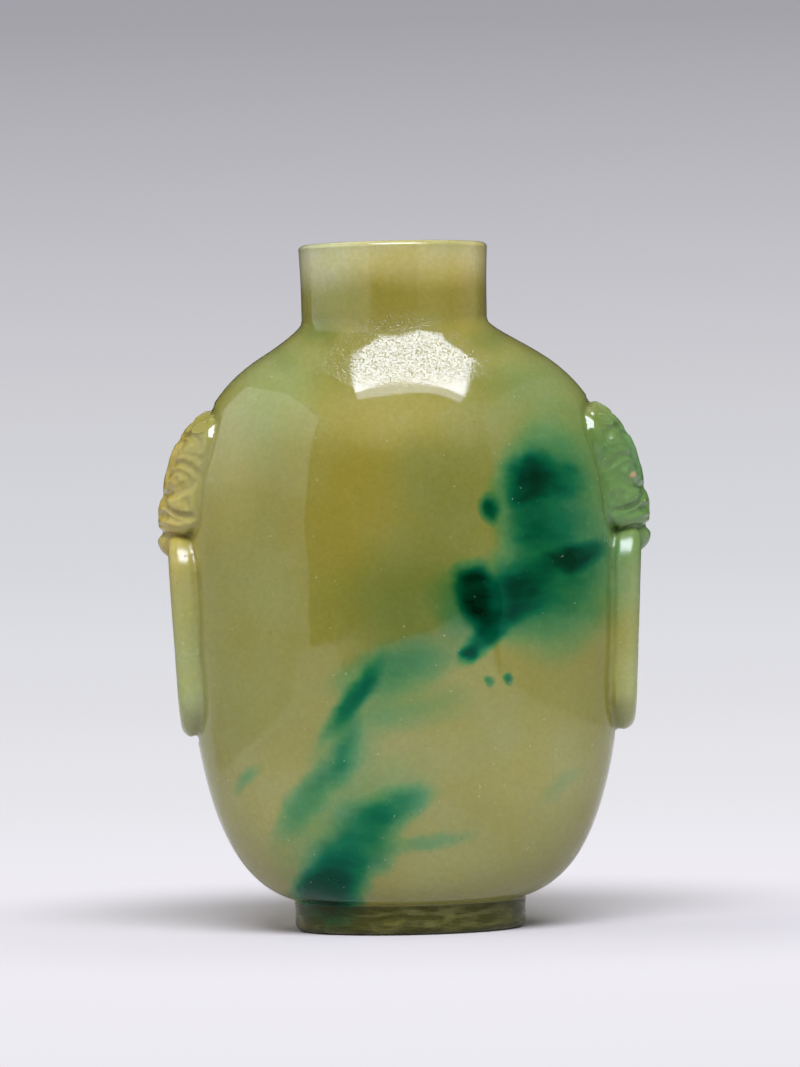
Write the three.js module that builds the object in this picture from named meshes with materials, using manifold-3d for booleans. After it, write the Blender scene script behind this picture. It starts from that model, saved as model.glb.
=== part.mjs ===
// A jadeite snuff bottle, cut and hollowed from one stone: a flattened ovoid body on an oval foot ring,
// a round neck with a flat lip, and in relief on each narrow side an animal mask with a long ring in its mouth.
//
// Millimetres. +Z is up, +X runs across the broad face and -Y is the front. The origin is the middle of
// the base.

import * as THREE from "three";
import { mergeVertices } from "three/addons/utils/BufferGeometryUtils.js";
import Module from "manifold-3d";

const { clamp, lerp, smoothstep } = THREE.MathUtils;

// ------------------------------------------------------------------------------------------------ sizes

const HEIGHT = 58;

// An ovoid is widest at centreZ. Above and below it has its own reach and fullness: a high fullness keeps the
// outline wide for longer before it turns in, and taper says how late the turn begins.
const BODY = {
  centreZ: 27.7,
  halfWidth: 18.45,
  halfDepth: 10.6,
  sectionPower: 2.12, // 2 is an ellipse, and more squares the section up a little
  above: { reach: 24.24, taper: 4.07, widthFullness: 1.78, depthFullness: 2.67 },
  below: { reach: 25.7, taper: 2.15, widthFullness: 4.6, depthFullness: 7 },
};

// The hollow follows the body about 3 mm inside it, and the stone is left thicker under the shoulders.
const CAVITY = {
  ...BODY,
  halfWidth: 15.2,
  halfDepth: 7.5,
  above: { ...BODY.above, reach: 20.3 },
  below: { ...BODY.below, reach: 22.2 },
};

const NECK = { waistRadius: 7.85, lipRadius: 8, waistZ: 53, filletWidth: 4, filletDepth: 2.5 };
const MOUTH = { radius: 3.9, filletWidth: 3, filletDepth: 2 };
const LIP_ROUNDING = 0.45;

const FOOT = {
  height: 2.55,
  halfWidth: 9.82,
  halfDepth: 6.82,
  waist: 0.09, // how far the side of the foot draws in between its two edges
  bevel: 0.8, // the rounded lower edge
  ringWidth: 2.5,
  recessDepth: 1.2,
};

// The stone was shaped by eye, so the shoulders sit a little towards +X and the neck towards -X.
const LEAN = { shoulder: 0.07, neck: -0.3, startZ: 28, shoulderZ: 48, neckFromZ: 48.9, neckToZ: 51.6 };

// The relief on the narrow side of +X. The forehead curves back above browZ, and the muzzle stands out
// below it.
const MASK = {
  lipZ: 33.6,
  cheekZ: 35.6,
  browZ: 37.5,
  earZ: 41.2,
  crownZ: 44.45,
  cheekHalfWidth: 4.3,
  earHalfWidth: 4.7,
  lipHalfWidth: 3.1,
  baseX: 16.2,
  foreheadX: 20.5,
  muzzleX: 20.93,
  lipRound: 0.6,
  foreheadPower: 1.6,
  domePower: 1.7,
  earPower: 2.3,
  bury: 1.5, // how deep the back of the relief lies in the wall
  rim: 0.6, // how deep the front edge of the relief lies in the wall
};

// Raised and sunken forms on the mask: place and half-size across and up the face, and height from its
// surface. A tilted form has its outer end raised. Each form stands on both halves of the face.
const MASK_FORMS = [
  { name: "crown boss", acrossY: 0, z: 43.1, halfAcross: 1.5, halfUp: 1, tilt: 0, rise: 0.3 },
  { name: "ear curl", acrossY: 3.1, z: 42.9, halfAcross: 1.4, halfUp: 1.2, tilt: 0, rise: 0.5 },
  { name: "arched groove", acrossY: 0, z: 42, halfAcross: 4.4, halfUp: 0.45, tilt: 0, rise: -0.32 },
  { name: "forehead", acrossY: 0.9, z: 40.6, halfAcross: 1.5, halfUp: 1.3, tilt: 0.2, rise: 0.3 },
  { name: "brow", acrossY: 3.1, z: 40.7, halfAcross: 1.2, halfUp: 0.9, tilt: 0.5, rise: 0.5 },
  { name: "lid groove", acrossY: 2.6, z: 39.6, halfAcross: 1.6, halfUp: 0.45, tilt: 0.3, rise: -0.3 },
  { name: "eye", acrossY: 2.7, z: 38.5, halfAcross: 1.15, halfUp: 0.95, tilt: 0.1, rise: 0.5 },
  { name: "bridge notch", acrossY: 0.6, z: 37.1, halfAcross: 2, halfUp: 0.5, tilt: -0.35, rise: -0.35 },
  { name: "cheek", acrossY: 3.1, z: 36.4, halfAcross: 1.3, halfUp: 1.2, tilt: 0, rise: 0.45 },
  { name: "nose", acrossY: 0, z: 35.9, halfAcross: 1.3, halfUp: 0.9, tilt: 0, rise: 0.2 },
  { name: "nostril", acrossY: 1.6, z: 35.4, halfAcross: 0.9, halfUp: 0.5, tilt: -0.3, rise: -0.45 },
  { name: "upper lip", acrossY: 1.5, z: 34.7, halfAcross: 1.8, halfUp: 0.6, tilt: 0, rise: 0.3 },
];

const TONGUE = { middleX: 18.75, z: 33, reachX: 2.26, halfWidth: 1.9, halfHeight: 1.72 };

const RING = {
  topZ: 34.5,
  outerHalfWidth: 4,
  tubeRadius: 1.05,
  legDepth: 1.7, // below the half-round crest the ring's sides run straight down into the wall
  crestTopX: 20.2,
  crestBottomX: 19.3,
};

// The two handles were cut by eye as well. The left one stands out less, and its mask is a little shorter.
const SIDES = [
  { turn: 0, inset: 0, maskScaleZ: 1, ringBottomZ: 16.5 },
  { turn: Math.PI, inset: 0.3, maskScaleZ: 0.976, ringBottomZ: 16.6 },
];
const MASK_ANCHOR_Z = 44; // the level that stays where it is when a mask is made shorter

const DETAIL = {
  sectionPoints: 56,
  bodyRowsAbove: 14,
  bodyRowsBelow: 12,
  cavityRowsAbove: 7,
  cavityRowsBelow: 6,
  arcSteps: 3,
  maskRows: 24,
  maskColumns: 16,
  tongueSegments: 16,
  tongueRings: 10,
  ringArcSteps: 12,
  ringStraightSteps: 5,
  ringCrestSteps: 5,
};

// ------------------------------------------------------------------------------------------------ profile

// The larger of two lengths, with a smooth hollow fillet where they are nearly the same.
function filletedMax(a, b, filletWidth) {
  const overlap = Math.max(filletWidth - Math.abs(a - b), 0) / filletWidth;
  return Math.max(a, b) + (overlap * overlap * filletWidth) / 4;
}

function ovoidSection(ovoid, z) {
  const end = z < ovoid.centreZ ? ovoid.below : ovoid.above;
  const reached = clamp(Math.abs(z - ovoid.centreZ) / end.reach, 0, 1);
  const left = 1 - reached ** end.taper;
  return {
    halfWidth: ovoid.halfWidth * left ** (1 / end.widthFullness),
    halfDepth: ovoid.halfDepth * left ** (1 / end.depthFullness),
  };
}

// Heights from one end of an ovoid's half to the other, closer together where the outline turns in.
function ovoidHeights(ovoid, end, fromZ, toZ, count) {
  const latitudeAt = (z) => {
    const reached = Math.min(Math.abs(z - ovoid.centreZ) / end.reach, 1);
    return Math.asin(reached ** (end.taper / 2));
  };
  const from = latitudeAt(fromZ);
  const to = latitudeAt(toZ);
  const side = Math.sign(fromZ + toZ - 2 * ovoid.centreZ);
  return Array.from({ length: count }, (_, i) => {
    const latitude = lerp(from, to, i / (count - 1));
    return ovoid.centreZ + side * end.reach * Math.sin(latitude) ** (2 / end.taper);
  });
}

function neckRadius(z) {
  const share = (z - NECK.waistZ) / (HEIGHT - NECK.waistZ);
  return NECK.waistRadius + (NECK.lipRadius - NECK.waistRadius) * share * share * Math.sign(share);
}

// An ovoid with a round neck growing out of its top: the outside of the bottle, or its hollow.
function neckedSection(ovoid, z, radius, filletWidth, filletDepth) {
  const section = ovoidSection(ovoid, z);
  const top = ovoid.centreZ + ovoid.above.reach;
  const round = smoothstep(z, top - 8, top + 1);
  const power = lerp(ovoid.sectionPower, 2, round);
  if (z < ovoid.centreZ) return { z, power, ...section };
  const halfWidth = filletedMax(section.halfWidth, radius, filletWidth);
  const halfDepth = filletedMax(section.halfDepth, radius, filletDepth);
  return { z, power, halfWidth, halfDepth };
}

function bodySection(z) {
  return neckedSection(BODY, z, neckRadius(z), NECK.filletWidth, NECK.filletDepth);
}

function cavitySection(z) {
  return neckedSection(CAVITY, z, MOUTH.radius, MOUTH.filletWidth, MOUTH.filletDepth);
}

// A quarter round from one section to another: the first leaves upright or level, as `levelFirst` says.
function quarterRound(from, to, levelFirst) {
  return Array.from({ length: DETAIL.arcSteps + 1 }, (_, i) => {
    const angle = (i / DETAIL.arcSteps) * (Math.PI / 2);
    const outward = levelFirst ? Math.sin(angle) : 1 - Math.cos(angle);
    const upward = levelFirst ? 1 - Math.cos(angle) : Math.sin(angle);
    return {
      z: lerp(from.z, to.z, upward),
      power: 2,
      halfWidth: lerp(from.halfWidth, to.halfWidth, outward),
      halfDepth: lerp(from.halfDepth, to.halfDepth, outward),
    };
  });
}

function footOval(inset, z) {
  return { z, power: 2, halfWidth: FOOT.halfWidth - inset, halfDepth: FOOT.halfDepth - inset };
}

function circle(radius, z) {
  return { z, power: 2, halfWidth: radius, halfDepth: radius };
}

// From the recess under the foot, out and up the outside, over the lip and down into the hollow.
function profileSections() {
  const footSide = (FOOT.bevel + FOOT.height) / 2;
  const foot = [
    footOval(FOOT.ringWidth + 0.3, FOOT.recessDepth),
    footOval(FOOT.ringWidth, FOOT.recessDepth - 0.3),
    footOval(FOOT.ringWidth, 0),
    ...quarterRound(footOval(FOOT.bevel, 0), footOval(FOOT.waist / 2, FOOT.bevel), true),
    footOval(FOOT.waist, footSide),
    footOval(0, FOOT.height),
  ];
  const bodyStart = FOOT.height + 0.1;
  const bodyTop = BODY.centreZ + BODY.above.reach;
  const below = ovoidHeights(BODY, BODY.below, bodyStart, BODY.centreZ, DETAIL.bodyRowsBelow);
  const above = ovoidHeights(BODY, BODY.above, BODY.centreZ, bodyTop, DETAIL.bodyRowsAbove).slice(1);
  const neck = [NECK.waistZ, (NECK.waistZ + HEIGHT) / 2];
  const body = [...below, ...above, ...neck].map(bodySection);
  const rounded = HEIGHT - LIP_ROUNDING;
  const lip = [
    ...quarterRound(circle(NECK.lipRadius, rounded), circle(NECK.lipRadius - LIP_ROUNDING, HEIGHT), false),
    ...quarterRound(circle(MOUTH.radius + LIP_ROUNDING, HEIGHT), circle(MOUTH.radius, rounded), true),
  ];
  const cavityTop = CAVITY.centreZ + CAVITY.above.reach;
  const cavityFloor = CAVITY.centreZ - CAVITY.below.reach + 0.02;
  const upper = ovoidHeights(CAVITY, CAVITY.above, cavityTop, CAVITY.centreZ, DETAIL.cavityRowsAbove);
  const lower = ovoidHeights(CAVITY, CAVITY.below, CAVITY.centreZ, cavityFloor, DETAIL.cavityRowsBelow);
  const hollow = [NECK.waistZ, ...upper, ...lower.slice(1)].map(cavitySection);
  return [...foot, ...body, ...lip, ...hollow];
}

// ------------------------------------------------------------------------------------------------ lofting

const signedPower = (value, power) => Math.sign(value) * Math.abs(value) ** power;

// The points of a section, counter-clockwise seen from above.
function sectionLoop({ z, power, halfWidth, halfDepth }) {
  return Array.from({ length: DETAIL.sectionPoints }, (_, i) => {
    const angle = (2 * Math.PI * i) / DETAIL.sectionPoints;
    const x = halfWidth * signedPower(Math.cos(angle), 2 / power);
    const y = halfDepth * signedPower(Math.sin(angle), 2 / power);
    return new THREE.Vector3(x, y, z);
  });
}

// A skin over loops of equal length. Each loop turns counter-clockwise seen from the next one. An open run of
// loops is capped with a fan at both ends, and a closed run joins its last loop to its first.
function loft(loops, closed = false) {
  const count = loops[0].length;
  const points = loops.flat();
  const index = [];
  const runs = closed ? loops.length : loops.length - 1;
  for (let run = 0; run < runs; run++) {
    for (let i = 0; i < count; i++) {
      const a = run * count + i;
      const b = run * count + ((i + 1) % count);
      const next = ((run + 1) % loops.length) * count;
      const c = next + ((i + 1) % count);
      const d = next + i;
      index.push(a, b, c, a, c, d);
    }
  }
  if (!closed) {
    const middleOf = (loop) => loop.reduce((sum, p) => sum.add(p), new THREE.Vector3()).divideScalar(count);
    const first = points.push(middleOf(loops[0])) - 1;
    const last = points.push(middleOf(loops.at(-1))) - 1;
    const lastLoop = (loops.length - 1) * count;
    for (let i = 0; i < count; i++) {
      const j = (i + 1) % count;
      index.push(first, j, i, last, lastLoop + i, lastLoop + j);
    }
  }
  return new THREE.BufferGeometry().setFromPoints(points).setIndex(index);
}

// ------------------------------------------------------------------------------------------------ handles

// How far out the body's surface lies at a height, at a distance y from the middle of the narrow side.
function bodySurfaceX(y, z) {
  const { power, halfWidth, halfDepth } = bodySection(z);
  return halfWidth * (1 - Math.abs(y / halfDepth) ** power) ** (1 / power);
}

// The outline of the mask seen from the side: how far out its middle line stands.
function maskCrestX(z) {
  if (z < MASK.browZ) {
    const muzzle = smoothstep(MASK.browZ - z, 0, MASK.browZ - MASK.cheekZ);
    const lip = 1 - Math.min((z - MASK.lipZ) / MASK.lipRound, 1);
    return lerp(MASK.foreheadX, MASK.muzzleX, muzzle) - MASK.lipRound * (1 - Math.sqrt(1 - lip * lip));
  }
  const share = (z - MASK.browZ) / (MASK.crownZ - MASK.browZ);
  const left = 1 - share ** MASK.foreheadPower;
  return MASK.baseX + (MASK.foreheadX - MASK.baseX) * left ** (1 / MASK.foreheadPower);
}

// The outline of the mask seen face on: drawn in at the lip, full at the cheeks and ears, round at the crown.
function maskHalfWidth(z) {
  if (z > MASK.earZ) {
    const share = (z - MASK.earZ) / (MASK.crownZ - MASK.earZ);
    return Math.max(MASK.earHalfWidth * (1 - share ** MASK.earPower) ** (1 / MASK.earPower), 0.3);
  }
  const full = lerp(MASK.cheekHalfWidth, MASK.earHalfWidth, smoothstep(z, MASK.browZ, MASK.earZ));
  const drawnIn = 1 - Math.min((z - MASK.lipZ) / (MASK.cheekZ - MASK.lipZ), 1);
  return lerp(full, MASK.lipHalfWidth, 1 - Math.sqrt(1 - drawnIn * drawnIn));
}

function maskFormRise(y, z) {
  let rise = 0;
  for (const form of MASK_FORMS) {
    const across = Math.abs(y) - form.acrossY;
    const up = z - form.z;
    const along = across * Math.cos(form.tilt) + up * Math.sin(form.tilt);
    const aside = up * Math.cos(form.tilt) - across * Math.sin(form.tilt);
    const left = Math.max(1 - (along / form.halfAcross) ** 2 - (aside / form.halfUp) ** 2, 0);
    rise += form.rise * left * left * (3 - 2 * left);
  }
  return rise;
}

// The section of the relief at one height: the domed and carved front, and the back buried in the wall.
function maskLoop(z) {
  const halfWidth = maskHalfWidth(z);
  const crest = maskCrestX(z);
  const shares = Array.from({ length: DETAIL.maskColumns + 1 }, (_, i) => (2 * i) / DETAIL.maskColumns - 1);
  const front = shares.map((share) => {
    const y = halfWidth * share;
    const base = bodySurfaceX(y, z) - MASK.rim;
    const dome = Math.max(1 - Math.abs(share) ** MASK.domePower, 0) ** (1 / MASK.domePower);
    const x = lerp(base, Math.max(crest, base), dome) + maskFormRise(y, z) * Math.sqrt(dome);
    return new THREE.Vector3(x, y, z);
  });
  const back = front.map(({ y }) => new THREE.Vector3(bodySurfaceX(y, z) - MASK.bury, y, z)).reverse();
  return [...front, ...back];
}

function maskGeometry() {
  const heights = Array.from({ length: DETAIL.maskRows + 1 }, (_, i) =>
    lerp(MASK.lipZ, MASK.crownZ, i / DETAIL.maskRows),
  );
  return loft(heights.map(maskLoop));
}

function tongueGeometry() {
  const { middleX, z, reachX, halfWidth, halfHeight } = TONGUE;
  const ball = new THREE.SphereGeometry(1, DETAIL.tongueSegments, DETAIL.tongueRings);
  return ball.scale(reachX, halfHeight, halfWidth).rotateX(Math.PI / 2).translate(middleX, 0, z);
}

// The middle line of the ring, face on: two straight bars joined by half circles, in the order of a left
// turn.
function ringPath(ringBottomZ) {
  const radius = RING.outerHalfWidth - RING.tubeRadius;
  const topZ = RING.topZ - RING.outerHalfWidth;
  const bottomZ = ringBottomZ + RING.outerHalfWidth;
  const path = new THREE.Path();
  path.moveTo(radius, bottomZ);
  path.lineTo(radius, topZ);
  path.absarc(0, topZ, radius, 0, Math.PI);
  path.lineTo(-radius, bottomZ);
  path.absarc(0, bottomZ, radius, Math.PI, 2 * Math.PI);
  const [up, over, down, under] = path.curves;
  const sample = (curve, steps) =>
    Array.from({ length: steps }, (_, i) => ({
      point: curve.getPoint(i / steps),
      tangent: curve.getTangent(i / steps),
    }));
  return [
    ...sample(up, DETAIL.ringStraightSteps),
    ...sample(over, DETAIL.ringArcSteps),
    ...sample(down, DETAIL.ringStraightSteps),
    ...sample(under, DETAIL.ringArcSteps),
  ];
}

// A half-round crest over two straight legs, as pairs of a distance across the bar and one outwards.
function ringSection() {
  const crest = Array.from({ length: DETAIL.ringCrestSteps + 1 }, (_, i) => {
    const angle = (Math.PI * i) / DETAIL.ringCrestSteps;
    return [RING.tubeRadius * Math.cos(angle), RING.tubeRadius * Math.sin(angle)];
  });
  return [...crest, [-RING.tubeRadius, -RING.legDepth], [RING.tubeRadius, -RING.legDepth]];
}

function ringGeometry(ringBottomZ) {
  const section = ringSection();
  const loops = ringPath(ringBottomZ).map(({ point, tangent }) => {
    const share = (point.y - ringBottomZ) / (RING.topZ - ringBottomZ);
    const centreX = lerp(RING.crestBottomX, RING.crestTopX, share) - RING.tubeRadius;
    return section.map(([across, out]) => {
      const y = point.x - tangent.y * across;
      const z = point.y + tangent.x * across;
      return new THREE.Vector3(centreX + out, y, z);
    });
  });
  return loft(loops, true);
}

// ------------------------------------------------------------------------------------------------ joining

const wasm = await Module();
wasm.setup();

function solidOf(geometry) {
  const bare = geometry.clone();
  bare.deleteAttribute("normal");
  bare.deleteAttribute("uv");
  const merged = mergeVertices(bare);
  const vertProperties = merged.attributes.position.array;
  const triVerts = new Uint32Array(merged.index.array);
  return new wasm.Manifold(new wasm.Mesh({ numProp: 3, vertProperties, triVerts }));
}

function geometryOf(solid) {
  const { vertProperties, triVerts } = solid.getMesh();
  const geometry = new THREE.BufferGeometry();
  geometry.setAttribute("position", new THREE.BufferAttribute(vertProperties, 3));
  geometry.setIndex(new THREE.BufferAttribute(triVerts, 1));
  return geometry;
}

function leanAt(z) {
  const shoulder = LEAN.shoulder * smoothstep(z, LEAN.startZ, LEAN.shoulderZ);
  return lerp(shoulder, LEAN.neck, smoothstep(z, LEAN.neckFromZ, LEAN.neckToZ));
}

// Moves every point sideways by the lean of its height.
function lean(geometry) {
  const position = geometry.attributes.position;
  for (let i = 0; i < position.count; i++) position.setX(i, position.getX(i) + leanAt(position.getZ(i)));
  geometry.computeVertexNormals();
  return geometry;
}

// The mask with its tongue, and the ring, turned to their narrow side and set in by the side's own amount.
function handleGeometries({ turn, inset, maskScaleZ, ringBottomZ }) {
  const face = [maskGeometry(), tongueGeometry()].map((geometry) =>
    geometry.translate(0, 0, -MASK_ANCHOR_Z).scale(1, 1, maskScaleZ).translate(0, 0, MASK_ANCHOR_Z),
  );
  const parts = [...face, ringGeometry(ringBottomZ)];
  return parts.map((geometry) => geometry.translate(-inset, 0, 0).rotateZ(turn));
}

function bottleGeometry() {
  const vessel = solidOf(loft(profileSections().map(sectionLoop)));
  const whole = SIDES.flatMap(handleGeometries).reduce((solid, handle) => solid.add(solidOf(handle)), vessel);
  return lean(geometryOf(whole));
}

// ------------------------------------------------------------------------------------------------ model

const jadeite = new THREE.MeshStandardMaterial({ color: 0x8c8a4e, roughness: 0.12, metalness: 0 });

const bottle = new THREE.Mesh(bottleGeometry(), jadeite);
bottle.name = "bottle";

const snuffBottle = new THREE.Group();
snuffBottle.name = "snuff_bottle";
snuffBottle.add(bottle);

export default snuffBottle;
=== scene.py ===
"""A jadeite snuff bottle, cut and hollowed from one stone.

The flattened ovoid body stands on an oval foot ring and carries a round neck with a flat lip. On each narrow side
an animal mask in relief holds a long ring in its mouth. The whole bottle is one piece of stone, so it is one mesh:
a fine skin lofted over the sections of the vessel, joined with the two carved handles.

Sizes are in millimetres until the finished mesh is turned into metres. +Z is up, +X runs across the broad face and
-Y is the front. The origin is the middle of the base.
"""

import logging
import math
from dataclasses import dataclass
from enum import Enum

import bmesh
import bpy
import numpy as np
from mathutils import Matrix, Vector
from mathutils.kdtree import KDTree


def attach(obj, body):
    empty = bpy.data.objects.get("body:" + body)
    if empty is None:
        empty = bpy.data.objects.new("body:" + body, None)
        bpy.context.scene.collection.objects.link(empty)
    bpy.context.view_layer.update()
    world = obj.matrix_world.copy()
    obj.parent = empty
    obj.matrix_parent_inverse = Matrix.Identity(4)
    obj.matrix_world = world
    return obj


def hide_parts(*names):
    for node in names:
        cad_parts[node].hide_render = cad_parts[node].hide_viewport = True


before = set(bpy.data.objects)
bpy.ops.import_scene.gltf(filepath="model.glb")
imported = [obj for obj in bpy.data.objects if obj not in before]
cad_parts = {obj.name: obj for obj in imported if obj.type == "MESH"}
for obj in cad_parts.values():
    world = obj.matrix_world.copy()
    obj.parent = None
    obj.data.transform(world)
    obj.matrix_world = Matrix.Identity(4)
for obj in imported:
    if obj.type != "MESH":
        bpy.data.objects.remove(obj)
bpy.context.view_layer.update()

logging.basicConfig(level=logging.INFO, format="%(message)s")
log = logging.getLogger("snuff_bottle")

HEIGHT = 58.0
METRES_PER_MM = 0.001

Pair = tuple[float, float]
Triple = tuple[float, float, float]
Colour = tuple[float, float, float, float]
Shade = tuple[int, int, int]
Object = bpy.types.Object
Mesh = bpy.types.Mesh
Material = bpy.types.Material
Socket = bpy.types.NodeSocket


# ---------- shaping helpers


def smoothstep(value: np.ndarray, low: float, high: float) -> np.ndarray:
    """Ease values from 0 at low to 1 at high."""
    share = np.clip((value - low) / (high - low), 0, 1)
    return share * share * (3 - 2 * share)


def lerp(start: np.ndarray, end: np.ndarray, share: np.ndarray) -> np.ndarray:
    """Blend from start to end by a share from 0 to 1."""
    return start + (end - start) * share


def filleted_max(a: np.ndarray, b: np.ndarray, width: float) -> np.ndarray:
    """Take the larger of two lengths, with a hollow fillet where they are less than width apart."""
    overlap = np.maximum(width - np.abs(a - b), 0) / width
    return np.maximum(a, b) + overlap * overlap * width / 4


def grid_faces(rows: int, columns: int, start: int = 0) -> list[tuple[int, int, int, int]]:
    """List the quads of a skin whose rows are closed loops.

    Args:
        rows: How many loops there are.
        columns: How many points each loop has.
        start: The index of the first point.

    Returns:
        The corners of each quad.
    """
    faces = []
    for row in range(rows - 1):
        low = start + row * columns
        high = low + columns
        for column in range(columns):
            after = (column + 1) % columns
            faces.append((low + column, low + after, high + after, high + column))
    return faces


def lofted_object(name: str, loops: np.ndarray) -> Object:
    """Make a closed skin over loops of points, with a fan of triangles over each end.

    Args:
        name: The name of the new object.
        loops: Points as (loop, point, xyz). Each loop turns counter-clockwise seen from the next one.

    Returns:
        The new object, in millimetres.
    """
    rows, columns, _ = loops.shape
    points = np.concatenate([loops.reshape(-1, 3), [loops[0].mean(axis=0), loops[-1].mean(axis=0)]])
    faces = grid_faces(rows, columns)
    first, last = rows * columns, rows * columns + 1
    top = (rows - 1) * columns
    for column in range(columns):
        after = (column + 1) % columns
        faces.append((first, after, column))
        faces.append((last, top + column, top + after))
    mesh = bpy.data.meshes.new(name)
    mesh.from_pydata(points.tolist(), [], faces)
    mesh.update()
    return link_object(name, mesh)


def link_object(name: str, data: bpy.types.ID) -> Object:
    """Put data in the scene as an object with a name."""
    made = bpy.data.objects.new(name, data)
    bpy.context.scene.collection.objects.link(made)
    return made


def mesh_points(mesh: Mesh) -> np.ndarray:
    """Read a mesh's points as (point, xyz)."""
    points = np.empty(len(mesh.vertices) * 3)
    mesh.vertices.foreach_get("co", points)
    return points.reshape(-1, 3)


def move_points(mesh: Mesh, points: np.ndarray) -> None:
    """Put a mesh's points in new places."""
    mesh.vertices.foreach_set("co", points.ravel())
    mesh.update()


def evaluated_mesh(source: Object) -> Mesh:
    """Turn an object and its live modifiers into a new plain mesh."""
    depsgraph = bpy.context.evaluated_depsgraph_get()
    return bpy.data.meshes.new_from_object(source.evaluated_get(depsgraph))


@dataclass(frozen=True)
class Undulation:
    """The soft unevenness that polishing by hand leaves on stone, as a sum of long and short waves."""

    shortest: float = 3.5
    longest: float = 11.0
    waves: int = 26
    seed: int = 7

    def at(self, points: np.ndarray) -> np.ndarray:
        """Find the unevenness at points.

        Args:
            points: Places as (..., xyz), in millimetres.

        Returns:
            A value from about -1 to 1 at each point.
        """
        random = np.random.default_rng(self.seed)
        total = np.zeros(points.shape[:-1])
        for _ in range(self.waves):
            direction = random.normal(size=3)
            direction /= np.linalg.norm(direction)
            length = random.uniform(self.shortest, self.longest)
            phase = random.uniform(0, math.tau)
            total += np.sin(points @ direction * (math.tau / length) + phase)
        return total / math.sqrt(self.waves)


# ---------- vessel


@dataclass(frozen=True)
class OvoidEnd:
    """The shape of an ovoid above or below its widest level."""

    reach: float
    taper: float
    width_fullness: float
    depth_fullness: float


@dataclass(frozen=True)
class Ovoid:
    """A flattened egg shape that is widest at one level, with its own fullness above and below it."""

    centre_z: float
    half_width: float
    half_depth: float
    above: OvoidEnd
    below: OvoidEnd

    @property
    def top_z(self) -> float:
        """The height where the ovoid closes."""
        return self.centre_z + self.above.reach

    def halves(self, z: np.ndarray) -> tuple[np.ndarray, np.ndarray]:
        """Find how wide and how deep the ovoid is at some heights.

        Args:
            z: The heights.

        Returns:
            The half-widths and the half-depths.
        """
        is_above = z >= self.centre_z
        reach, taper, width_fullness, depth_fullness = (
            np.where(is_above, getattr(self.above, name), getattr(self.below, name))
            for name in ("reach", "taper", "width_fullness", "depth_fullness")
        )
        left = 1 - np.clip(np.abs(z - self.centre_z) / reach, 0, 1) ** taper
        return self.half_width * left ** (1 / width_fullness), self.half_depth * left ** (1 / depth_fullness)


@dataclass(frozen=True)
class Sections:
    """Level sections of the vessel, from the first row to the last."""

    z: np.ndarray
    half_width: np.ndarray
    half_depth: np.ndarray
    power: np.ndarray

    def resampled(self, spacing: float) -> "Sections":
        """Space the sections evenly along the profile.

        Args:
            spacing: The wanted distance from one section to the next.

        Returns:
            The new sections, with both ends kept.
        """
        inward = np.maximum(np.abs(np.diff(self.half_width)), np.abs(np.diff(self.half_depth)))
        steps = np.hypot(np.diff(self.z), inward)
        travelled = np.concatenate([[0], np.cumsum(steps)])
        count = max(round(travelled[-1] / spacing), 1) + 1
        wanted = np.linspace(0, travelled[-1], count)
        columns = (self.z, self.half_width, self.half_depth, self.power)
        return Sections(*(np.interp(wanted, travelled, column) for column in columns))

    def loops(self, columns: int) -> np.ndarray:
        """Draw each section as a loop of points, counter-clockwise seen from above.

        Args:
            columns: How many points a loop has.

        Returns:
            The points as (section, point, xyz).
        """
        angle = np.linspace(0, math.tau, columns, endpoint=False)[None, :]
        bend = 2 / self.power[:, None]
        across = np.sign(np.cos(angle)) * np.abs(np.cos(angle)) ** bend
        deep = np.sign(np.sin(angle)) * np.abs(np.sin(angle)) ** bend
        x = self.half_width[:, None] * across
        y = self.half_depth[:, None] * deep
        return np.stack([x, y, np.broadcast_to(self.z[:, None], x.shape)], axis=-1)


def joined(runs: list[Sections]) -> Sections:
    """Join runs of sections into one, without repeating the section where two runs meet."""
    names = ("z", "half_width", "half_depth", "power")
    parts = {name: [getattr(runs[0], name)] + [getattr(run, name)[1:] for run in runs[1:]] for name in names}
    return Sections(*(np.concatenate(parts[name]) for name in names))


def oval_run(corners: list[Triple]) -> Sections:
    """Make a run of elliptic sections from corners given as (z, half-width, half-depth)."""
    z, half_width, half_depth = (np.array(column, dtype=float) for column in zip(*corners))
    return Sections(z, half_width, half_depth, np.full(z.shape, 2.0))


def quarter_round(start: Triple, end: Triple, level_first: bool, steps: int = 8) -> Sections:
    """Make a quarter round from one oval to another.

    Args:
        start: The first oval as (z, half-width, half-depth).
        end: The last oval, given the same way.
        level_first: Whether the curve leaves level, or else upright.
        steps: How many steps the quarter has.

    Returns:
        The sections of the quarter round.
    """
    corners = []
    for step in range(steps + 1):
        angle = step / steps * math.pi / 2
        outward = math.sin(angle) if level_first else 1 - math.cos(angle)
        upward = 1 - math.cos(angle) if level_first else math.sin(angle)
        shares = (upward, outward, outward)
        corners.append(tuple(lerp(a, b, share) for a, b, share in zip(start, end, shares)))
    return oval_run(corners)


@dataclass(frozen=True)
class Neck:
    """The round neck that grows out of the shoulders."""

    waist_radius: float = 7.85
    lip_radius: float = 8.0
    waist_z: float = 53.0
    fillet_width: float = 4.0
    fillet_depth: float = 2.5
    lip_rounding: float = 0.45

    def radius_at(self, z: np.ndarray) -> np.ndarray:
        """Find the neck's radius, a little smaller at the waist than at the lip."""
        share = (z - self.waist_z) / (HEIGHT - self.waist_z)
        return self.waist_radius + (self.lip_radius - self.waist_radius) * share * share * np.sign(share)


@dataclass(frozen=True)
class Mouth:
    """The round opening in the lip, and the way it widens into the hollow."""

    radius: float = 3.9
    fillet_width: float = 3.0
    fillet_depth: float = 2.0

    def radius_at(self, z: np.ndarray) -> np.ndarray:
        """Give the opening's radius, which is the same at every height."""
        return np.full(z.shape, self.radius)


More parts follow.
